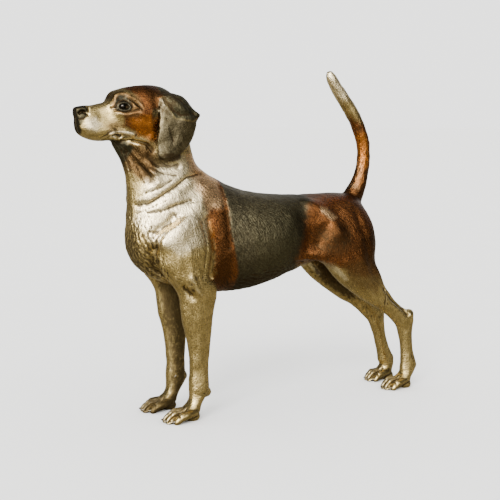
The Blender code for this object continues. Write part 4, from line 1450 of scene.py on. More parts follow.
def one_claw(tree, given):
    """A tapering tube along a bent curve that starts at the origin and runs along X."""
    drop = maths(tree, "MULTIPLY", given["Length"], given["Bend"])
    knee = made_node(tree, "ShaderNodeCombineXYZ", X=maths(tree, "MULTIPLY", given["Length"], CLAW_KNEE))
    end = made_node(tree, "ShaderNodeCombineXYZ", X=given["Length"], Z=maths(tree, "MULTIPLY", drop, -1.0))
    line = made_node(tree, "GeometryNodeCurveQuadraticBezier", Resolution=CLAW_STEPS, Start=(0.0, 0.0, 0.0))
    give_named(tree, line, {"Middle": knee.outputs[0], "End": end.outputs[0]})
    along = tree.nodes.new("GeometryNodeSplineParameter").outputs["Factor"]
    girth = maths(tree, "MULTIPLY", spread(tree, along, *CLAW_TAPER, 1.0, CLAW_TIP), given["Girth"])
    ring = made_node(tree, "GeometryNodeCurvePrimitiveCircle", Radius=1.0, Resolution=given["Sides"])
    tube = made_node(tree, "GeometryNodeCurveToMesh", Fill_Caps=True, Curve=line.outputs["Curve"])
    give_named(tree, tube, {"Profile Curve": ring.outputs["Curve"], "Scale": girth})
    return tube.outputs["Mesh"]


def claw_tree():
    """Sets a claw on every point of the host mesh, turned and sized as its values say."""
    sizes = (
        ("Length", "NodeSocketFloat"),
        ("Girth", "NodeSocketFloat"),
        ("Bend", "NodeSocketFloat"),
        ("Sides", "NodeSocketInt"),
        ("Finish", "NodeSocketMaterial"),
    )
    tree = new_tree("claws", sizes)
    given = tree.nodes.new("NodeGroupInput").outputs
    aim = stored_on_points(tree, "aim", "FLOAT_VECTOR")
    turn = made_node(tree, "FunctionNodeAlignRotationToVector", Vector=aim)
    turn.axis = "X"
    stout = stored_on_points(tree, "stout", "FLOAT")
    copies = made_node(tree, "GeometryNodeInstanceOnPoints", Points=given["Geometry"], Scale=stout)
    give_named(tree, copies, {"Instance": one_claw(tree, given), "Rotation": turn.outputs["Rotation"]})
    real = made_node(tree, "GeometryNodeRealizeInstances", Geometry=copies.outputs["Instances"])
    finish = made_node(tree, "GeometryNodeSetMaterial", Material=given["Finish"])
    give_named(tree, finish, {"Geometry": real.outputs["Geometry"]})
    made_node(tree, "NodeGroupOutput", Geometry=finish.outputs["Geometry"])
    return tree


claw_nodes = claw_tree()
print("claw tree of", len(claw_nodes.nodes), "nodes")

# %% Claws on the toes
# Where a claw leaves its toe: its height, how far behind the tip in shares of the toe's radius, how much it
# splays and dips, and the radius of a toe that has a claw of full size.
CLAW_HEIGHT = 0.0135
CLAW_SET_BACK = 0.25
CLAW_SPLAY = 4.0
CLAW_DIP = -0.25
FULL_TOE = 0.0145

# The dewclaw sits behind the front of this foreleg slice, inside the track.
DEWCLAW_SLICE = 15
DEWCLAW_BACK = 0.030
DEWCLAW_IN = 0.033
DEWCLAW_HEIGHT = 0.150
DEWCLAW_SIZE = 0.75


def claw_places():
    """Where each claw leaves its toe, the way it aims, and how stout it is."""
    places = []
    for side in SIDES.values():
        for track, toes, _, shift in paws_of(side):
            for out, _, _, tip, radius in toes:
                at = (tip + shift - CLAW_SET_BACK * radius, side * (track + out), CLAW_HEIGHT)
                places.append((at, (-1.0, side * out * CLAW_SPLAY, CLAW_DIP), radius / FULL_TOE))
        x = FORELEG[DEWCLAW_SLICE][1] + fore_shift(side) + DEWCLAW_BACK
        inner = (x, side * (FORE_TRACK - DEWCLAW_IN), DEWCLAW_HEIGHT)
        places.append((inner, (-0.6, -0.5 * side, -1.0), DEWCLAW_SIZE))
    return places


def made_by(tree, host_mesh, inputs):
    """The plain mesh that a tree makes on a host mesh with these named inputs."""
    host = placed("host", host_mesh)
    maker = host.modifiers.new("maker", "NODES")
    maker.node_group = tree
    sockets = {item.name: item.identifier for item in tree.interface.items_tree if item.in_out == "INPUT"}
    for name, value in inputs.items():
        maker[sockets[name]] = value
    return evaluated_mesh(host)


places = claw_places()
claw_points = bpy.data.meshes.new("claw points")
claw_points.from_pydata([Vector(at) * WITHERS_HEIGHT for at, _, _ in places], [], [])
with_attribute(claw_points, "aim", "FLOAT_VECTOR", [aim for _, aim, _ in places])
with_attribute(claw_points, "stout", "FLOAT", [stout for _, _, stout in places])
claw_finish = bpy.data.materials.new("polished claw bronze")
claw_sizes = {
    "Length": CLAW_LENGTH,
    "Girth": CLAW_GIRTH,
    "Bend": CLAW_BEND,
    "Sides": CLAW_SIDES,
    "Finish": claw_finish,
}
claws = made_by(claw_nodes, claw_points, claw_sizes)
claws.transform(SET_IN_PLACE)
print(len(places), "claws,", len(claws.polygons), "faces")

# %% [markdown]
# ## One casting again
# Skin, eyes and claws are one piece of bronze, so they go into one mesh, and that piece stands for the CAD
# solid. Each keeps a material slot, because the eyes are polished darker and the claws brighter than the
# coat.

# %% Join into one piece
SKIN_SLOT, EYE_SLOT, CLAW_SLOT = range(3)


def one_casting(parts):
    """All the parts in one mesh, each with the slot it is given."""
    whole = bmesh.new()
    for mesh, slot in parts:
        mesh.polygons.foreach_set("material_index", [slot] * len(mesh.polygons))
        whole.from_mesh(mesh)
    mesh = bpy.data.meshes.new("hound casting")
    whole.to_mesh(mesh)
    whole.free()
    mesh.polygons.foreach_set("use_smooth", [True] * len(mesh.polygons))
    return mesh


casting = one_casting(((skin, SKIN_SLOT), (eyes, EYE_SLOT), (claws, CLAW_SLOT)))
hound = placed("hound_casting", casting)
print("casting", sum(len(p.vertices) - 2 for p in casting.polygons), "triangles")

# %% [markdown]
# ## Where each colour of the patina goes
# A patineur brushes chemicals over hot bronze, so the colours lie in soft patches that follow the anatomy:
# red over the withers and thigh, near-black over the saddle, bare silver-gold on the neck and muzzle. Some
# patches are painted shade or painted highlights instead, as the comment at each colour says. Each patch is
# drawn as an outline on the side view and stored on the mesh as a soft mask, which the materials read by
# name.

# %% Patches drawn on the side view
# Each patch: how wide its edge fades, then its outline, x and z in shares of the withers height.
PATCHES = {
    "red": (
        (0.028, ((0.070, 1.06), (0.098, 0.960), (0.108, 0.880), (0.121, 0.800), (0.139, 0.725),
                 (0.150, 0.654), (0.155, 0.48), (0.370, 0.48), (0.340, 0.60), (0.325, 0.699), (0.305, 0.783),
                 (0.290, 0.947), (0.290, 1.08))),
        (0.040, ((0.58, 0.98), (0.56, 0.87), (0.54, 0.79), (0.53, 0.72), (0.50, 0.655), (0.50, 0.60),
                 (0.67, 0.610), (0.72, 0.60), (0.78, 0.58), (0.84, 0.55), (0.96, 0.535), (1.04, 0.55),
                 (1.04, 0.98))),
        (0.045, ((0.82, 0.86), (1.05, 0.86), (1.05, 1.200), (0.88, 1.240), (0.84, 1.1))),
        (0.020, ((-0.222, 1.258), (-0.218, 1.205), (-0.19, 1.194), (-0.13, 1.168), (-0.085, 1.14),
                 (-0.05, 1.33), (-0.08, 1.42), (-0.195, 1.42), (-0.195, 1.350), (-0.168, 1.325),
                 (-0.158, 1.290), (-0.19, 1.262))),
    ),
    "orange": (
        (0.030, ((-0.195, 1.232), (-0.150, 1.245), (-0.080, 1.258), (-0.080, 1.155), (-0.120, 1.152),
                 (-0.170, 1.180))),
        (0.020, ((0.108, 0.845), (0.128, 0.830), (0.146, 0.700), (0.132, 0.700))),
        (0.026, ((0.905, 1.170), (0.975, 1.180), (0.985, 1.020), (0.940, 0.930), (0.890, 0.950))),
    ),
    # The small tan spot on the hip is a painted highlight.
    "tan": (
        (0.040, ((0.04, 1.10), (0.07, 0.96), (0.11, 0.87), (0.19, 0.88), (0.20, 1.10))),
        (0.030, ((0.880, 1.050), (0.950, 1.050), (0.958, 1.000), (0.925, 0.930), (0.860, 0.940))),
        (0.020, ((0.665, 0.862), (0.695, 0.855), (0.745, 0.812), (0.720, 0.800), (0.668, 0.838))),
    ),
    # The umber patch on the upper neck under the jaw is painted shade as well as umber patina.
    "umber": (
        (0.018, ((-0.265, 1.290), (-0.248, 1.325), (-0.215, 1.345), (-0.160, 1.332), (-0.138, 1.280),
                 (-0.162, 1.242), (-0.215, 1.238), (-0.258, 1.262))),
        (0.050, ((0.76, 0.60), (0.82, 0.50), (0.96, 0.46), (1.02, 0.60), (0.90, 0.64))),
        (0.024, ((-0.225, 1.145), (-0.090, 1.140), (-0.085, 1.050), (-0.100, 0.975), (-0.150, 1.000),
                 (-0.215, 1.060))),
        (0.040, ((-0.290, 1.215), (-0.250, 1.235), (-0.215, 1.215), (-0.230, 1.185), (-0.280, 1.180))),
    ),
    "worn": (
        (0.090, ((0.22, 0.94), (0.22, 0.72), (0.29, 0.68), (0.40, 0.74), (0.44, 0.90), (0.34, 0.95))),
    ),
    # Painted shade: the brown patches over the throat under the jaw, the thigh below the hip, the back of the
    # skull by the ear and the ring round the eye darken places that the head shades or that light would show
    # bright.
    "brown": (
        (0.030, ((0.165, 0.860), (0.215, 0.860), (0.225, 0.550), (0.150, 0.550))),
        (0.050, ((0.635, 0.765), (0.690, 0.780), (0.790, 0.790), (0.810, 0.680), (0.730, 0.640),
                 (0.630, 0.650))),
        (0.018, ((-0.130, 1.390), (-0.060, 1.390), (-0.070, 1.270), (-0.098, 1.270), (-0.120, 1.330))),
        (0.014, ((-0.262, 1.272), (-0.260, 1.322), (-0.236, 1.345), (-0.190, 1.338), (-0.158, 1.298),
                 (-0.166, 1.264), (-0.212, 1.250))),
        (0.050, ((0.70, 1.00), (0.74, 0.90), (0.84, 0.88), (0.90, 0.84), (1.04, 0.78), (1.04, 0.98))),
        (0.040, ((0.84, 0.90), (1.04, 0.90), (1.04, 1.02), (0.90, 1.02))),
        (0.045, ((0.82, 0.68), (0.87, 0.60), (0.98, 0.58), (1.02, 0.72), (0.94, 0.76))),
        (0.025, ((-0.190, 1.42), (-0.185, 1.372), (-0.12, 1.376), (-0.05, 1.368), (-0.05, 1.42))),
        (0.040, ((-0.240, 1.120), (-0.185, 1.140), (-0.090, 1.115), (-0.090, 1.030), (-0.140, 0.985),
                 (-0.180, 1.020), (-0.215, 1.075))),
    ),
    # Painted shadow: the dark patch under the jaw stands for shadow, and the patch round the eye is
    # near-black patina with painted shade under the brow.
    "dark": (
        (0.016, ((0.207, 1.08), (0.212, 0.783), (0.230, 0.699), (0.252, 0.614), (0.270, 0.44), (0.50, 0.44),
                 (0.50, 0.62), (0.50, 0.648), (0.50, 0.722), (0.50, 0.786), (0.50, 0.858), (0.52, 1.08))),
        (0.050, ((0.40, 1.08), (0.40, 0.44), (0.58, 0.44), (0.56, 0.62), (0.545, 0.648), (0.575, 0.722),
                 (0.590, 0.786), (0.610, 0.858), (0.65, 0.90), (0.72, 0.925), (0.76, 1.08))),
        (0.012, ((-0.066, 1.365), (0.00, 1.37), (0.09, 1.30), (0.11, 1.25), (0.055, 1.225), (-0.026, 1.240),
                 (-0.050, 1.290))),
        (0.010, ((-0.43, 1.30), (-0.362, 1.30), (-0.352, 1.268), (-0.366, 1.238), (-0.384, 1.21),
                 (-0.378, 1.175), (-0.36, 1.14), (-0.43, 1.14))),
        (0.012, ((-0.252, 1.276), (-0.248, 1.308), (-0.230, 1.330), (-0.206, 1.328), (-0.188, 1.300),
                 (-0.190, 1.272), (-0.212, 1.262), (-0.238, 1.262))),
        (0.014, ((-0.290, 1.158), (-0.200, 1.152), (-0.170, 1.125), (-0.190, 1.075), (-0.222, 1.030),
                 (-0.270, 1.050))),
    ),
    # Painted highlights: the spot on the muzzle, the line along the upper lip and the line along the flank
    # fold lay bare silver-gold where highlights fall; the neck, shoulder and tail tip are bare polished
    # metal.
    "silver": (
        (0.040, ((-0.13, 1.00), (-0.08, 1.05), (0.03, 1.09), (0.13, 1.06), (0.12, 0.82), (0.10, 0.74),
                 (-0.02, 0.70), (-0.11, 0.74), (-0.17, 0.82))),
        (0.030, ((-0.365, 1.235), (-0.325, 1.240), (-0.310, 1.215), (-0.325, 1.190), (-0.360, 1.190))),
        (0.008, ((-0.280, 1.188), (-0.160, 1.188), (-0.160, 1.165), (-0.265, 1.163))),
        (0.055, ((0.72, 1.48), (0.84, 1.48), (0.92, 1.34), (0.80, 1.30))),
        (0.008, ((0.640, 0.640), (0.700, 0.625), (0.760, 0.575), (0.800, 0.535), (0.790, 0.525),
                 (0.750, 0.562), (0.695, 0.610), (0.640, 0.625))),
    ),
    # These grime patches are mostly painted shade: they darken the thigh below the hip and the top of the ear
    # against bright light, and the neck below the ear, the side of the neck, the throat and the elbow notch
    # where shade falls. The lower breast gets dirt, and the belly is made darker.
    "grime_and_shade": (
        (0.040, ((0.640, 0.770), (0.700, 0.775), (0.800, 0.775), (0.830, 0.680), (0.740, 0.630),
                 (0.650, 0.650))),
        (0.016, ((-0.090, 1.350), (-0.020, 1.350), (0.020, 1.300), (-0.040, 1.250), (-0.080, 1.260))),
        (0.016, ((-0.150, 1.060), (-0.110, 1.070), (-0.104, 1.000), (-0.122, 0.985), (-0.140, 1.020))),
        (0.008, ((-0.212, 1.120), (-0.196, 1.120), (-0.184, 0.940), (-0.198, 0.940))),
        (0.014, ((-0.100, 1.090), (-0.060, 1.105), (0.020, 1.105), (0.004, 1.062), (-0.050, 1.046),
                 (-0.095, 1.042))),
        (0.010, ((-0.008, 0.566), (0.038, 0.560), (0.032, 0.520))),
        (0.036, ((-0.240, 0.780), (-0.155, 0.760), (-0.120, 0.680), (-0.070, 0.600), (-0.240, 0.600))),
        (0.030, ((0.20, 0.58), (0.20, 0.46), (0.60, 0.52), (0.58, 0.62))),
    ),
}
EAR_PATCH = ((-0.10, 1.345), (0.0, 1.36), (0.12, 1.26), (0.10, 1.10), (-0.04, 1.05), (-0.11, 1.08))
EAR_BLUR = 0.016
EAR_LEAST_Y = 0.085
EAR_FADE = 0.008


def patch_mask(flat, blur, outline):
    """1 inside an outline, 0 outside, with a soft edge."""
    closed = (*outline, outline[0])
    distance = distance_to_path(flat, closed)
    signed = np.where(inside(flat, outline), distance, -distance)
    return np.clip(0.5 + signed / (2 * blur), 0, 1)


def patch_masks(points):
    """Every mask by name, from points in shares of the withers height."""
    flat = points[:, (0, 2)]
    masks = {}
    for name, patches in PATCHES.items():
        masks[name] = np.max([patch_mask(flat, *patch) for patch in patches], axis=0)
    far_out = np.clip((np.abs(points[:, 1]) - EAR_LEAST_Y) / EAR_FADE, 0, 1)
    on_ear = patch_mask(flat, EAR_BLUR, EAR_PATCH) * far_out
    masks["grey"] = on_ear * (1 - masks["dark"])
    for below in ("red", "orange", "brown", "tan", "umber"):
        masks[below] = masks[below] * (1 - on_ear)
    return masks


print(sum(len(patches) for patches in PATCHES.values()), "patches of", len(PATCHES), "kinds")

# %% Masks on the casting
shift = np.array(SET_IN_PLACE.translation)
share_points = (points_of(casting) - shift) / WITHERS_HEIGHT
masks = patch_masks(share_points)
for name, values in masks.items():
    with_attribute(casting, name, "FLOAT", values)
    print(name, "patina on", round(100 * float(np.mean(values > 0.5))), "% of the points")
with_attribute(casting, "lie", "FLOAT_VECTOR", lie_of(share_points, normals_of(casting)))

# %% [markdown]
# ## Painted shade where the figure shelters a point
# Shade is painted in where other parts of the figure hide a point. From each point a few looks go outward,
# and the share of them that meets the figure again says how sheltered the point is. An Ambient Occlusion node
# could do this in the material, but a value stored on the mesh can be evened out, drawn over and read back.
# The inner sides of the legs get more painted shade and their outer sides painted light, the paws are
# darkened, and the cheek beside the ear has its painted shade cut back.

# %% Coat, and painted shade where the figure shelters a point
LOOKS = 12
LOOK_REACH = 0.20 * WITHERS_HEIGHT
LOOK_LIFT = 0.002 * WITHERS_HEIGHT
LOOK_OUTWARD = 1.1
LOOK_SEED = 3
LOOK_ROUNDS = 6
# Painted shade on the inner sides of the legs, painted light on their outer sides, darkening on the paws, and
# the place on the cheek beside the ear where the painted shade is cut back.
INNER_LEG_SHADE = 0.68
OUTER_LEG_LIGHT = 0.30
PAW_DARKENING = 0.42
UNSHADED_CHEEK = ((-0.170, 1.330), (-0.076, 1.340), (-0.082, 1.160), (-0.110, 1.155), (-0.170, 1.240))
CHEEK_SHADE_CUT = 0.75
CHEEK_BLUR = 0.02


def coat_strength(points, ear):
    """How plainly the chased hair shows: least on the face, ears and paws, half on the legs."""
    low_leg = np.clip((0.50 - points[:, 2]) / 0.15, 0, 1)
    return (1 - 0.6 * detail_share(points * WITHERS_HEIGHT)) * (1 - 0.45 * low_leg) * (1 - 0.5 * ear)


def sheltered(mesh):
    """The share of looks outward from each point that meet the figure again, evened out."""
    points = points_of(mesh)
    normals = normals_of(mesh)
    corners = np.empty(len(mesh.loops), np.int64)
    mesh.loops.foreach_get("vertex_index", corners)
    faces = [corners[p.loop_start : p.loop_start + p.loop_total].tolist() for p in mesh.polygons]
    tree = BVHTree.FromPolygons(points.tolist(), faces)
    starts = [Vector(p) for p in points + normals * LOOK_LIFT]
    met = np.zeros(len(points))
    rng = np.random.default_rng(LOOK_SEED)
    for spread_out in rng.normal(size=(LOOKS, 3)):
        aims = normals * LOOK_OUTWARD + spread_out / np.linalg.norm(spread_out)
        for i, (start, aim) in enumerate(zip(starts, aims.tolist())):
            if tree.ray_cast(start, aim, LOOK_REACH)[0]:
                met[i] += 1.0 / LOOKS
    return relaxed(met[:, None], edges_of(mesh), LOOK_ROUNDS)[:, 0]


def leg_shade_and_light(points, normals):
    """Painted shade on the inner sides of the legs and darkening on the paws, less painted light on the outer
    sides.
    """
    x, y, z = points.T
    hind_shank = np.where(x > 0.5, np.clip((z - 0.38) / 0.08, 0, 1), 1.0)
    outward = np.clip((0.60 - z) / 0.10, 0, 1) * normals[:, 1] * np.sign(y)
    facing_in = np.clip(-outward, 0, 1) * hind_shank
    on_paw = np.clip((0.080 - z) / 0.03, 0, 1)
    return INNER_LEG_SHADE * facing_in + PAW_DARKENING * on_paw - OUTER_LEG_LIGHT * np.clip(outward, 0, 1) * (1 - on_paw)


# Painted shade: the sheltered share darkens the skin, less on the cheek beside the ear, with the painted
# shade and light of the legs added.
painted_shade = sheltered(casting)
painted_shade *= 1 - CHEEK_SHADE_CUT * patch_mask(share_points[:, (0, 2)], CHEEK_BLUR, UNSHADED_CHEEK)
painted_shade = np.clip(painted_shade + leg_shade_and_light(share_points, normals_of(casting)), 0, 1)
with_attribute(casting, "painted_shade", "FLOAT", painted_shade)
with_attribute(casting, "coat", "FLOAT", coat_strength(share_points, masks["grey"]))
print("sheltered points", round(100 * float(np.mean(painted_shade > 0.3))), "%")

# %% [markdown]
# ## Effects that the materials share
# Three effects make the finish: hair marks from the chaser's punch, the grain of the cast metal, and dirt
# that settles in hollows, to which the skin adds painted shade. The last two come back in every material.
# Each is a node group with named inputs and outputs, so it's written once. They put out only values, and the
# shaders stay in the materials.

# %% Shader helpers
def group_tree(name, inputs, outputs):
    """A shader node group with named sockets: (name, kind, default)."""
    tree = bpy.data.node_groups.new(name, "ShaderNodeTree")
    for socket, kind, default in inputs:
        made = tree.interface.new_socket(socket, in_out="INPUT", socket_type=kind)
        made.default_value = default
    for socket, kind in outputs:
        tree.interface.new_socket(socket, in_out="OUTPUT", socket_type=kind)
    return tree, tree.nodes.new("NodeGroupInput"), tree.nodes.new("NodeGroupOutput")


def vector_maths(tree, operation, first, second=(0.0, 0.0, 0.0), third=(0.0, 0.0, 0.0), scale=1.0):
    node = tree.nodes.new("ShaderNodeVectorMath")
    node.operation = operation
    for socket, value in zip(node.inputs, (first, second, third, scale)):
        give(tree, socket, value)
    return node.outputs[0]


def noise(tree, place, scale, detail=3.0, roughness=0.55):
    node = made_node(tree, "ShaderNodeTexNoise", Vector=place, Scale=scale)
    give_named(tree, node, {"Detail": detail, "Roughness": roughness})
    return node.outputs["Fac"]


def mix_sockets(node):
    """The colour sockets of a Mix node, which has one set for each kind of data."""
    colours = [s for s in node.inputs if s.type == "RGBA"]
    return colours[0], colours[1], [s for s in node.outputs if s.type == "RGBA"][0]


def blend(tree, share, first, second):
    """One colour over another by a share."""
    node = tree.nodes.new("ShaderNodeMix")
    node.data_type = "RGBA"
    give(tree, node.inputs[0], share)
    below, above, result = mix_sockets(node)
    give(tree, below, first)
    give(tree, above, second)
    return result


def attribute(tree, name, vector=False):
    node = tree.nodes.new("ShaderNodeAttribute")
    node.attribute_name = name
    return node.outputs["Vector" if vector else "Fac"]


def object_place(tree):
    return tree.nodes.new("ShaderNodeTexCoord").outputs["Object"]


def effect(tree, group, **inputs):
    """A group node in a material, with its inputs given by name."""
    node = tree.nodes.new("ShaderNodeGroup")
    node.node_tree = group
    give_named(tree, node, inputs)
    return node.outputs

# %% Chased hair, cast grain and settled dirt
HAIR_STEPS = 7


def chased_hair_group():
    """Streaks along the way the coat lies: noise averaged over a short run of places in that direction."""
    inputs = (("Fineness", "NodeSocketFloat", 420.0), ("Run", "NodeSocketFloat", 0.012))
    outputs = (("Height", "NodeSocketFloat"), ("Strands", "NodeSocketFloat"))
    tree, given, result = group_tree("chased hair", inputs, outputs)
    place = object_place(tree)
    wander = tree.nodes.new("ShaderNodeTexNoise")
    wander.inputs["Scale"].default_value = 60.0
    tree.links.new(place, wander.inputs["Vector"])
    swirl = vector_maths(tree, "SUBTRACT", wander.outputs["Color"], (0.5, 0.5, 0.5))
    lie = vector_maths(tree, "MULTIPLY_ADD", swirl, (1.2, 1.2, 1.2), attribute(tree, "lie", vector=True))
    total = 0.0
    for step in range(HAIR_STEPS):
        share = step / (HAIR_STEPS - 1) - 0.5
        reach = maths(tree, "MULTIPLY", given.outputs["Run"], share)
        there = vector_maths(tree, "ADD", place, vector_maths(tree, "SCALE", lie, scale=reach))
        total = maths(tree, "ADD", noise(tree, there, given.outputs["Fineness"], 1.0), total)
    mean = maths(tree, "DIVIDE", total, float(HAIR_STEPS))
    tree.links.new(spread(tree, mean, 0.40, 0.60), result.inputs["Height"])
    tree.links.new(spread(tree, mean, 0.44, 0.56), result.inputs["Strands"])
    return tree


def cast_grain_group():
    """Fine pits and gentle waves of sand-cast metal, and a slow mottling."""
    inputs = (("Pit Size", "NodeSocketFloat", 900.0), ("Mottle Size", "NodeSocketFloat", 45.0))
    outputs = (("Pits", "NodeSocketFloat"), ("Mottle", "NodeSocketFloat"), ("Blotch", "NodeSocketFloat"))
    tree, given, result = group_tree("cast grain", inputs, outputs)
    place = object_place(tree)
    tree.links.new(noise(tree, place, given.outputs["Pit Size"], 2.0), result.inputs["Pits"])
    mottle = noise(tree, place, given.outputs["Mottle Size"], 4.0, 0.6)
    tree.links.new(spread(tree, mottle, 0.3, 0.7), result.inputs["Mottle"])
    slow = maths(tree, "MULTIPLY", given.outputs["Mottle Size"], 0.25)
    tree.links.new(spread(tree, noise(tree, place, slow, 3.0, 0.6), 0.3, 0.7), result.inputs["Blotch"])
    return tree


def dirt_and_shade_group():
    """Dirt where the surface is hollow, plus the Extra input, which carries painted shade on the skin; broken
    up by noise.
    """
    inputs = (("Extra", "NodeSocketFloat", 0.0), ("Amount", "NodeSocketFloat", 1.0))
    tree, given, result = group_tree("dirt and painted shade", inputs, (("Dirt and Shade", "NodeSocketFloat"),))
    place = object_place(tree)
    broken = noise(tree, place, 130.0, 4.0, 0.65)
    hollow = maths(tree, "MULTIPLY", attribute(tree, "hollow"), 0.9)
    wanted = maths(tree, "ADD", hollow, given.outputs["Extra"])
    edge = maths(tree, "ADD", wanted, maths(tree, "MULTIPLY_ADD", broken, 0.9, -0.45))
    dirt_and_shade = spread(tree, edge, 0.25, 0.75)
    tree.links.new(maths(tree, "MULTIPLY", dirt_and_shade, given.outputs["Amount"]), result.inputs["Dirt and Shade"])
    return tree


chased_hair = chased_hair_group()
cast_grain = cast_grain_group()
dirt_and_shade_nodes = dirt_and_shade_group()
print("effects:", ", ".join(g.name for g in (chased_hair, cast_grain, dirt_and_shade_nodes)))

# %% [markdown]
# ## The skin of the hound
# The skin starts as pale olive-gold bronze. Each patina lies over it by its mask, with edges broken by
# noise so that they look brushed, and some masks lay painted shade or painted highlights the same way. Metal
# stays fully metallic under a patina, only its tint and roughness change, while dirt and painted shade are
# dull.
# High points are rubbed back to bright metal, as hands do to a garden bronze.

# %% Skin material
OLIVE_GOLD = (0.68, 0.51, 0.21, 1.0)
OLIVE_DEEP = (0.50, 0.37, 0.14, 1.0)
SILVER_GOLD = (1.00, 0.83, 0.50, 1.0)
RED_BROWN = (0.125, 0.037, 0.014, 1.0)
RED_LIGHT = (0.27, 0.088, 0.020, 1.0)
DEEP_BROWN = (0.074, 0.031, 0.010, 1.0)
THIN_TAN = (0.95, 0.60, 0.30, 1.0)
UMBER = (0.20, 0.115, 0.045, 1.0)
WORN_GREEN = (0.27, 0.235, 0.135, 1.0)
TAN_ORANGE = (0.62, 0.21, 0.035, 1.0)
NEAR_BLACK = (0.028, 0.027, 0.018, 1.0)
GREEN_GREY = (0.088, 0.083, 0.046, 1.0)
EAR_GREY = (0.125, 0.108, 0.070, 1.0)
EAR_DARK = (0.034, 0.031, 0.021, 1.0)
BROWN_DIRT_AND_SHADE = (0.040, 0.024, 0.010, 1.0)
EYE_BLACK = (0.012, 0.010, 0.008, 1.0)
EYE_BROWN = (0.05, 0.035, 0.02, 1.0)
CLAW_DARK = (0.12, 0.10, 0.07, 1.0)
CLAW_BRIGHT = (0.30, 0.25, 0.17, 1.0)


def material_tree(material):
    material.use_nodes = True
    tree = material.node_tree
    return tree, tree.nodes["Principled BSDF"]


def layer(tree, colour, name, ragged, over, strength=1.0):
    """A patina, or painted shade or highlight, over the colours below, where its mask says, with an edge
    broken by noise.
    """
    shifted = maths(tree, "MULTIPLY_ADD", ragged, 0.7, -0.35)
    share = spread(tree, maths(tree, "ADD", attribute(tree, name), shifted), 0.25, 0.75, 0.0, strength)
    return blend(tree, share, colour, over)


def bump(tree, shader, height, distance):
    node = tree.nodes.new("ShaderNodeBump")
    node.inputs["Distance"].default_value = distance
    tree.links.new(height, node.inputs["Height"])
    tree.links.new(node.outputs["Normal"], shader.inputs["Normal"])


def skin_material():
    material = bpy.data.materials.new("patinated bronze skin")
    tree, shader = material_tree(material)
    hair = effect(tree, chased_hair, Fineness=310.0, Run=0.009)
    grain = effect(tree, cast_grain, Pit_Size=700.0, Mottle_Size=230.0)
    ragged = noise(tree, object_place(tree), 60.0, 6.0, 0.7)
    # Painted shade: the sheltered share and the grime and shade patches darken the skin through the dirt
    # group, together with the dirt in hollows.
    grime_and_shade = maths(tree, "MULTIPLY", attribute(tree, "grime_and_shade"), 0.5)
    grime_and_shade = maths(tree, "MULTIPLY_ADD", attribute(tree, "painted_shade"), 0.75, grime_and_shade)
    dirt_and_shade = effect(tree, dirt_and_shade_nodes, Extra=grime_and_shade, Amount=0.85)["Dirt and Shade"]
    colour = blend(tree, grain["Blotch"], OLIVE_DEEP, OLIVE_GOLD)
    colour = layer(tree, colour, "silver", ragged, SILVER_GOLD)
    colour = layer(tree, colour, "red", ragged, blend(tree, grain["Mottle"], RED_BROWN, RED_LIGHT), 0.95)
    colour = layer(tree, colour, "tan", ragged, THIN_TAN, 0.8)
    colour = layer(tree, colour, "umber", ragged, UMBER, 0.7)
    colour = layer(tree, colour, "orange", ragged, TAN_ORANGE, 0.7)
    colour = layer(tree, colour, "brown", ragged, DEEP_BROWN, 0.75)
    saddle = blend(tree, maths(tree, "MULTIPLY", attribute(tree, "worn"), 0.8), GREEN_GREY, WORN_GREEN)
    mottled = spread(tree, grain["Mottle"], 0.0, 1.0, 0.25, 0.85)
    wear = maths(tree, "MULTIPLY", mottled, spread(tree, attribute(tree, "coat"), 0.5, 0.9))
    saddle = blend(tree, wear, NEAR_BLACK, saddle)
    colour = layer(tree, colour, "dark", ragged, saddle, 0.96)
    colour = layer(tree, colour, "grey", ragged, blend(tree, grain["Blotch"], EAR_DARK, EAR_GREY), 0.9)
    between = maths(tree, "MULTIPLY_ADD", hair["Strands"], -0.28, 0.28)
    colour = blend(tree, between, colour, BROWN_DIRT_AND_SHADE)
    dark = attribute(tree, "dark")
    patina = maths(tree, "MAXIMUM", dark, maths(tree, "MULTIPLY", attribute(tree, "red"), 0.8))
    patina = maths(tree, "MAXIMUM", patina, maths(tree, "MULTIPLY", attribute(tree, "umber"), 0.7))
    bare = maths(tree, "SUBTRACT", 1.0, patina)
    rub = spread(tree, maths(tree, "MULTIPLY", attribute(tree, "ridge"), bare), 0.3, 1.0, 0.0, 0.4)
    colour = blend(tree, rub, colour, SILVER_GOLD)
    colour = blend(tree, dirt_and_shade, colour, BROWN_DIRT_AND_SHADE)
    tree.links.new(colour, shader.inputs["Base Color"])
    shader.inputs["Metallic"].default_value = 1.0
    sheen = maths(tree, "MULTIPLY_ADD", grain["Mottle"], 0.10, 0.24)
    darker = maths(tree, "MULTIPLY_ADD", attribute(tree, "dark"), 0.10, sheen)
    tree.links.new(maths(tree, "MULTIPLY_ADD", dirt_and_shade, 0.30, darker), shader.inputs["Roughness"])
    height = maths(tree, "MULTIPLY_ADD", grain["Mottle"], 0.3, maths(tree, "MULTIPLY", hair["Height"], 0.48))
    height = maths(tree, "MULTIPLY", height, attribute(tree, "coat"))
    bump(tree, shader, maths(tree, "MULTIPLY_ADD", grain["Pits"], 0.30, height), 0.0009)
    return material


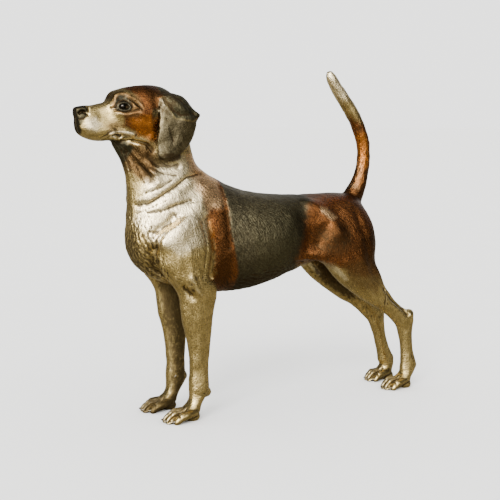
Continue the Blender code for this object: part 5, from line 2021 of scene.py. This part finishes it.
def eye_material():
    """Eyes are polished and patinated nearly black, so they catch one sharp highlight."""
    material = bpy.data.materials.new("dark glossy eye")
    tree, shader = material_tree(material)
    grain = effect(tree, cast_grain, Pit_Size=1500.0, Mottle_Size=200.0)
    colour = blend(tree, grain["Mottle"], EYE_BLACK, EYE_BROWN)
    dirt_and_shade = effect(tree, dirt_and_shade_nodes, Extra=0.0, Amount=0.5)["Dirt and Shade"]
    tree.links.new(blend(tree, dirt_and_shade, colour, BROWN_DIRT_AND_SHADE), shader.inputs["Base Color"])
    shader.inputs["Metallic"].default_value = 1.0
    tree.links.new(maths(tree, "MULTIPLY_ADD", grain["Mottle"], 0.10, 0.10), shader.inputs["Roughness"])
    shader.inputs["Coat Weight"].default_value = 0.6
    shader.inputs["Coat Roughness"].default_value = 0.06
    bump(tree, shader, grain["Pits"], 0.0001)
    return material


def finish_claws(material):
    """Claws are filed smooth, so they are brighter and less grained than the coat."""
    tree, shader = material_tree(material)
    grain = effect(tree, cast_grain, Pit_Size=1200.0, Mottle_Size=160.0)
    dirt_and_shade = effect(tree, dirt_and_shade_nodes, Extra=0.15, Amount=0.7)["Dirt and Shade"]
    colour = blend(tree, grain["Mottle"], CLAW_DARK, CLAW_BRIGHT)
    tree.links.new(blend(tree, dirt_and_shade, colour, BROWN_DIRT_AND_SHADE), shader.inputs["Base Color"])
    shader.inputs["Metallic"].default_value = 1.0
    tree.links.new(maths(tree, "MULTIPLY_ADD", grain["Mottle"], 0.2, 0.25), shader.inputs["Roughness"])
    bump(tree, shader, grain["Pits"], 0.0002)


finish_claws(claw_finish)
for material in (skin_material(), eye_material(), claw_finish):
    casting.materials.append(material)
    print("slot:", material.name)

# %% [markdown]
# ## Floor and light
# The bronze was photographed in a bright studio. Metal shows mostly what it reflects, so the light is a
# broad soft sun from the dog's front left and a dim room with five soft-edged bright panels. The camera
# itself sees a plain pale backdrop that matches the floor, as in front of a paper roll.

# %% Studio
FLOOR_HALF = 60.0
FLOOR_TONE = (0.80, 0.80, 0.79, 1.0)
FLOOR_PALER = (0.82, 0.82, 0.81, 1.0)
FLOOR_REFLECTED = (0.13, 0.118, 0.085, 1.0)
BACKDROP = (2.45, 2.45, 2.42, 1.0)
SUN_FROM = (-46.0, 36.0)
SUN_STRENGTH = 3.5
SUN_SPREAD = 28.0
SUN_DISTANCE = 5.0
LIT_POINT = Vector((0.0, 0.0, 0.45))


def floor():
    mesh = bpy.data.meshes.new("floor")
    corners = [(x * FLOOR_HALF, y * FLOOR_HALF, 0) for x, y in ((-1, -1), (1, -1), (1, 1), (-1, 1))]
    mesh.from_pydata(corners, [], [(0, 1, 2, 3)])
    material = bpy.data.materials.new("pale floor")
    tree, shader = material_tree(material)
    grain = noise(tree, object_place(tree), 3.0, 3.0)
    tone = blend(tree, grain, FLOOR_TONE, FLOOR_PALER)
    reflected = tree.nodes.new("ShaderNodeLightPath").outputs["Is Glossy Ray"]
    tree.links.new(blend(tree, reflected, tone, FLOOR_REFLECTED), shader.inputs["Base Color"])
    tree.links.new(spread(tree, grain, 0.0, 1.0, 0.75, 0.9), shader.inputs["Roughness"])
    shader.inputs["Specular IOR Level"].default_value = 0.1
    mesh.materials.append(material)
    return placed("floor", mesh)


def lamp_at(light, azimuth, elevation, distance):
    lamp = bpy.data.objects.new(light.name, light)
    return aimed(lamp, LIT_POINT + direction_to(azimuth, elevation) * distance, LIT_POINT)


def soft_sun():
    light = bpy.data.lights.new("sun", "SUN")
    light.energy = SUN_STRENGTH
    light.angle = math.radians(SUN_SPREAD)
    return lamp_at(light, *SUN_FROM, SUN_DISTANCE)


# The bright panels that the metal reflects: azimuth, elevation and half width in degrees, and brightness.
PANELS = {
    "key": (-64.0, 20.0, 32.0, 7.4),
    "high front": (-6.0, 50.0, 24.0, 2.4),
    "front": (-8.0, 16.0, 34.0, 4.0),
    "low left": (-58.0, -10.0, 44.0, 1.7),
    "rim": (125.0, 25.0, 30.0, 0.8),
}
STUDIO_LOW = (0.07, 0.068, 0.06, 1.0)
STUDIO_HIGH = (0.17, 0.17, 0.17, 1.0)


def panel_light(tree, place, azimuth, elevation, size, brightness):
    """How much one soft-edged panel adds in each direction of the sky."""
    towards = direction_to(azimuth, elevation)
    node = tree.nodes.new("ShaderNodeVectorMath")
    node.operation = "DOT_PRODUCT"
    give(tree, node.inputs[0], place)
    give(tree, node.inputs[1], towards)
    edge = math.cos(math.radians(size))
    return spread(tree, node.outputs["Value"], edge, 1.0, 0.0, brightness)


def studio_world():
    world = bpy.data.worlds.new("studio")
    world.use_nodes = True
    tree = world.node_tree
    background = tree.nodes["Background"]
    place = tree.nodes.new("ShaderNodeTexCoord").outputs["Generated"]
    up = tree.nodes.new("ShaderNodeSeparateXYZ")
    tree.links.new(place, up.inputs[0])
    room = blend(tree, spread(tree, up.outputs["Z"], 0.0, 0.9), STUDIO_LOW, STUDIO_HIGH)
    light = 0.0
    for values in PANELS.values():
        light = maths(tree, "ADD", panel_light(tree, place, *values), light)
    lit_room = vector_maths(tree, "ADD", room, light)
    reflected = tree.nodes.new("ShaderNodeLightPath").outputs["Is Glossy Ray"]
    tree.links.new(blend(tree, reflected, BACKDROP, lit_room), background.inputs["Color"])
    bpy.context.scene.world = world


stage_floor = floor()
soft_sun()
studio_world()
print(len(PANELS), "panels and a soft sun")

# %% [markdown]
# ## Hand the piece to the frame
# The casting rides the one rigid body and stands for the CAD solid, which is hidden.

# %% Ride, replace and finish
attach(hound, "root")
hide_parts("hound")
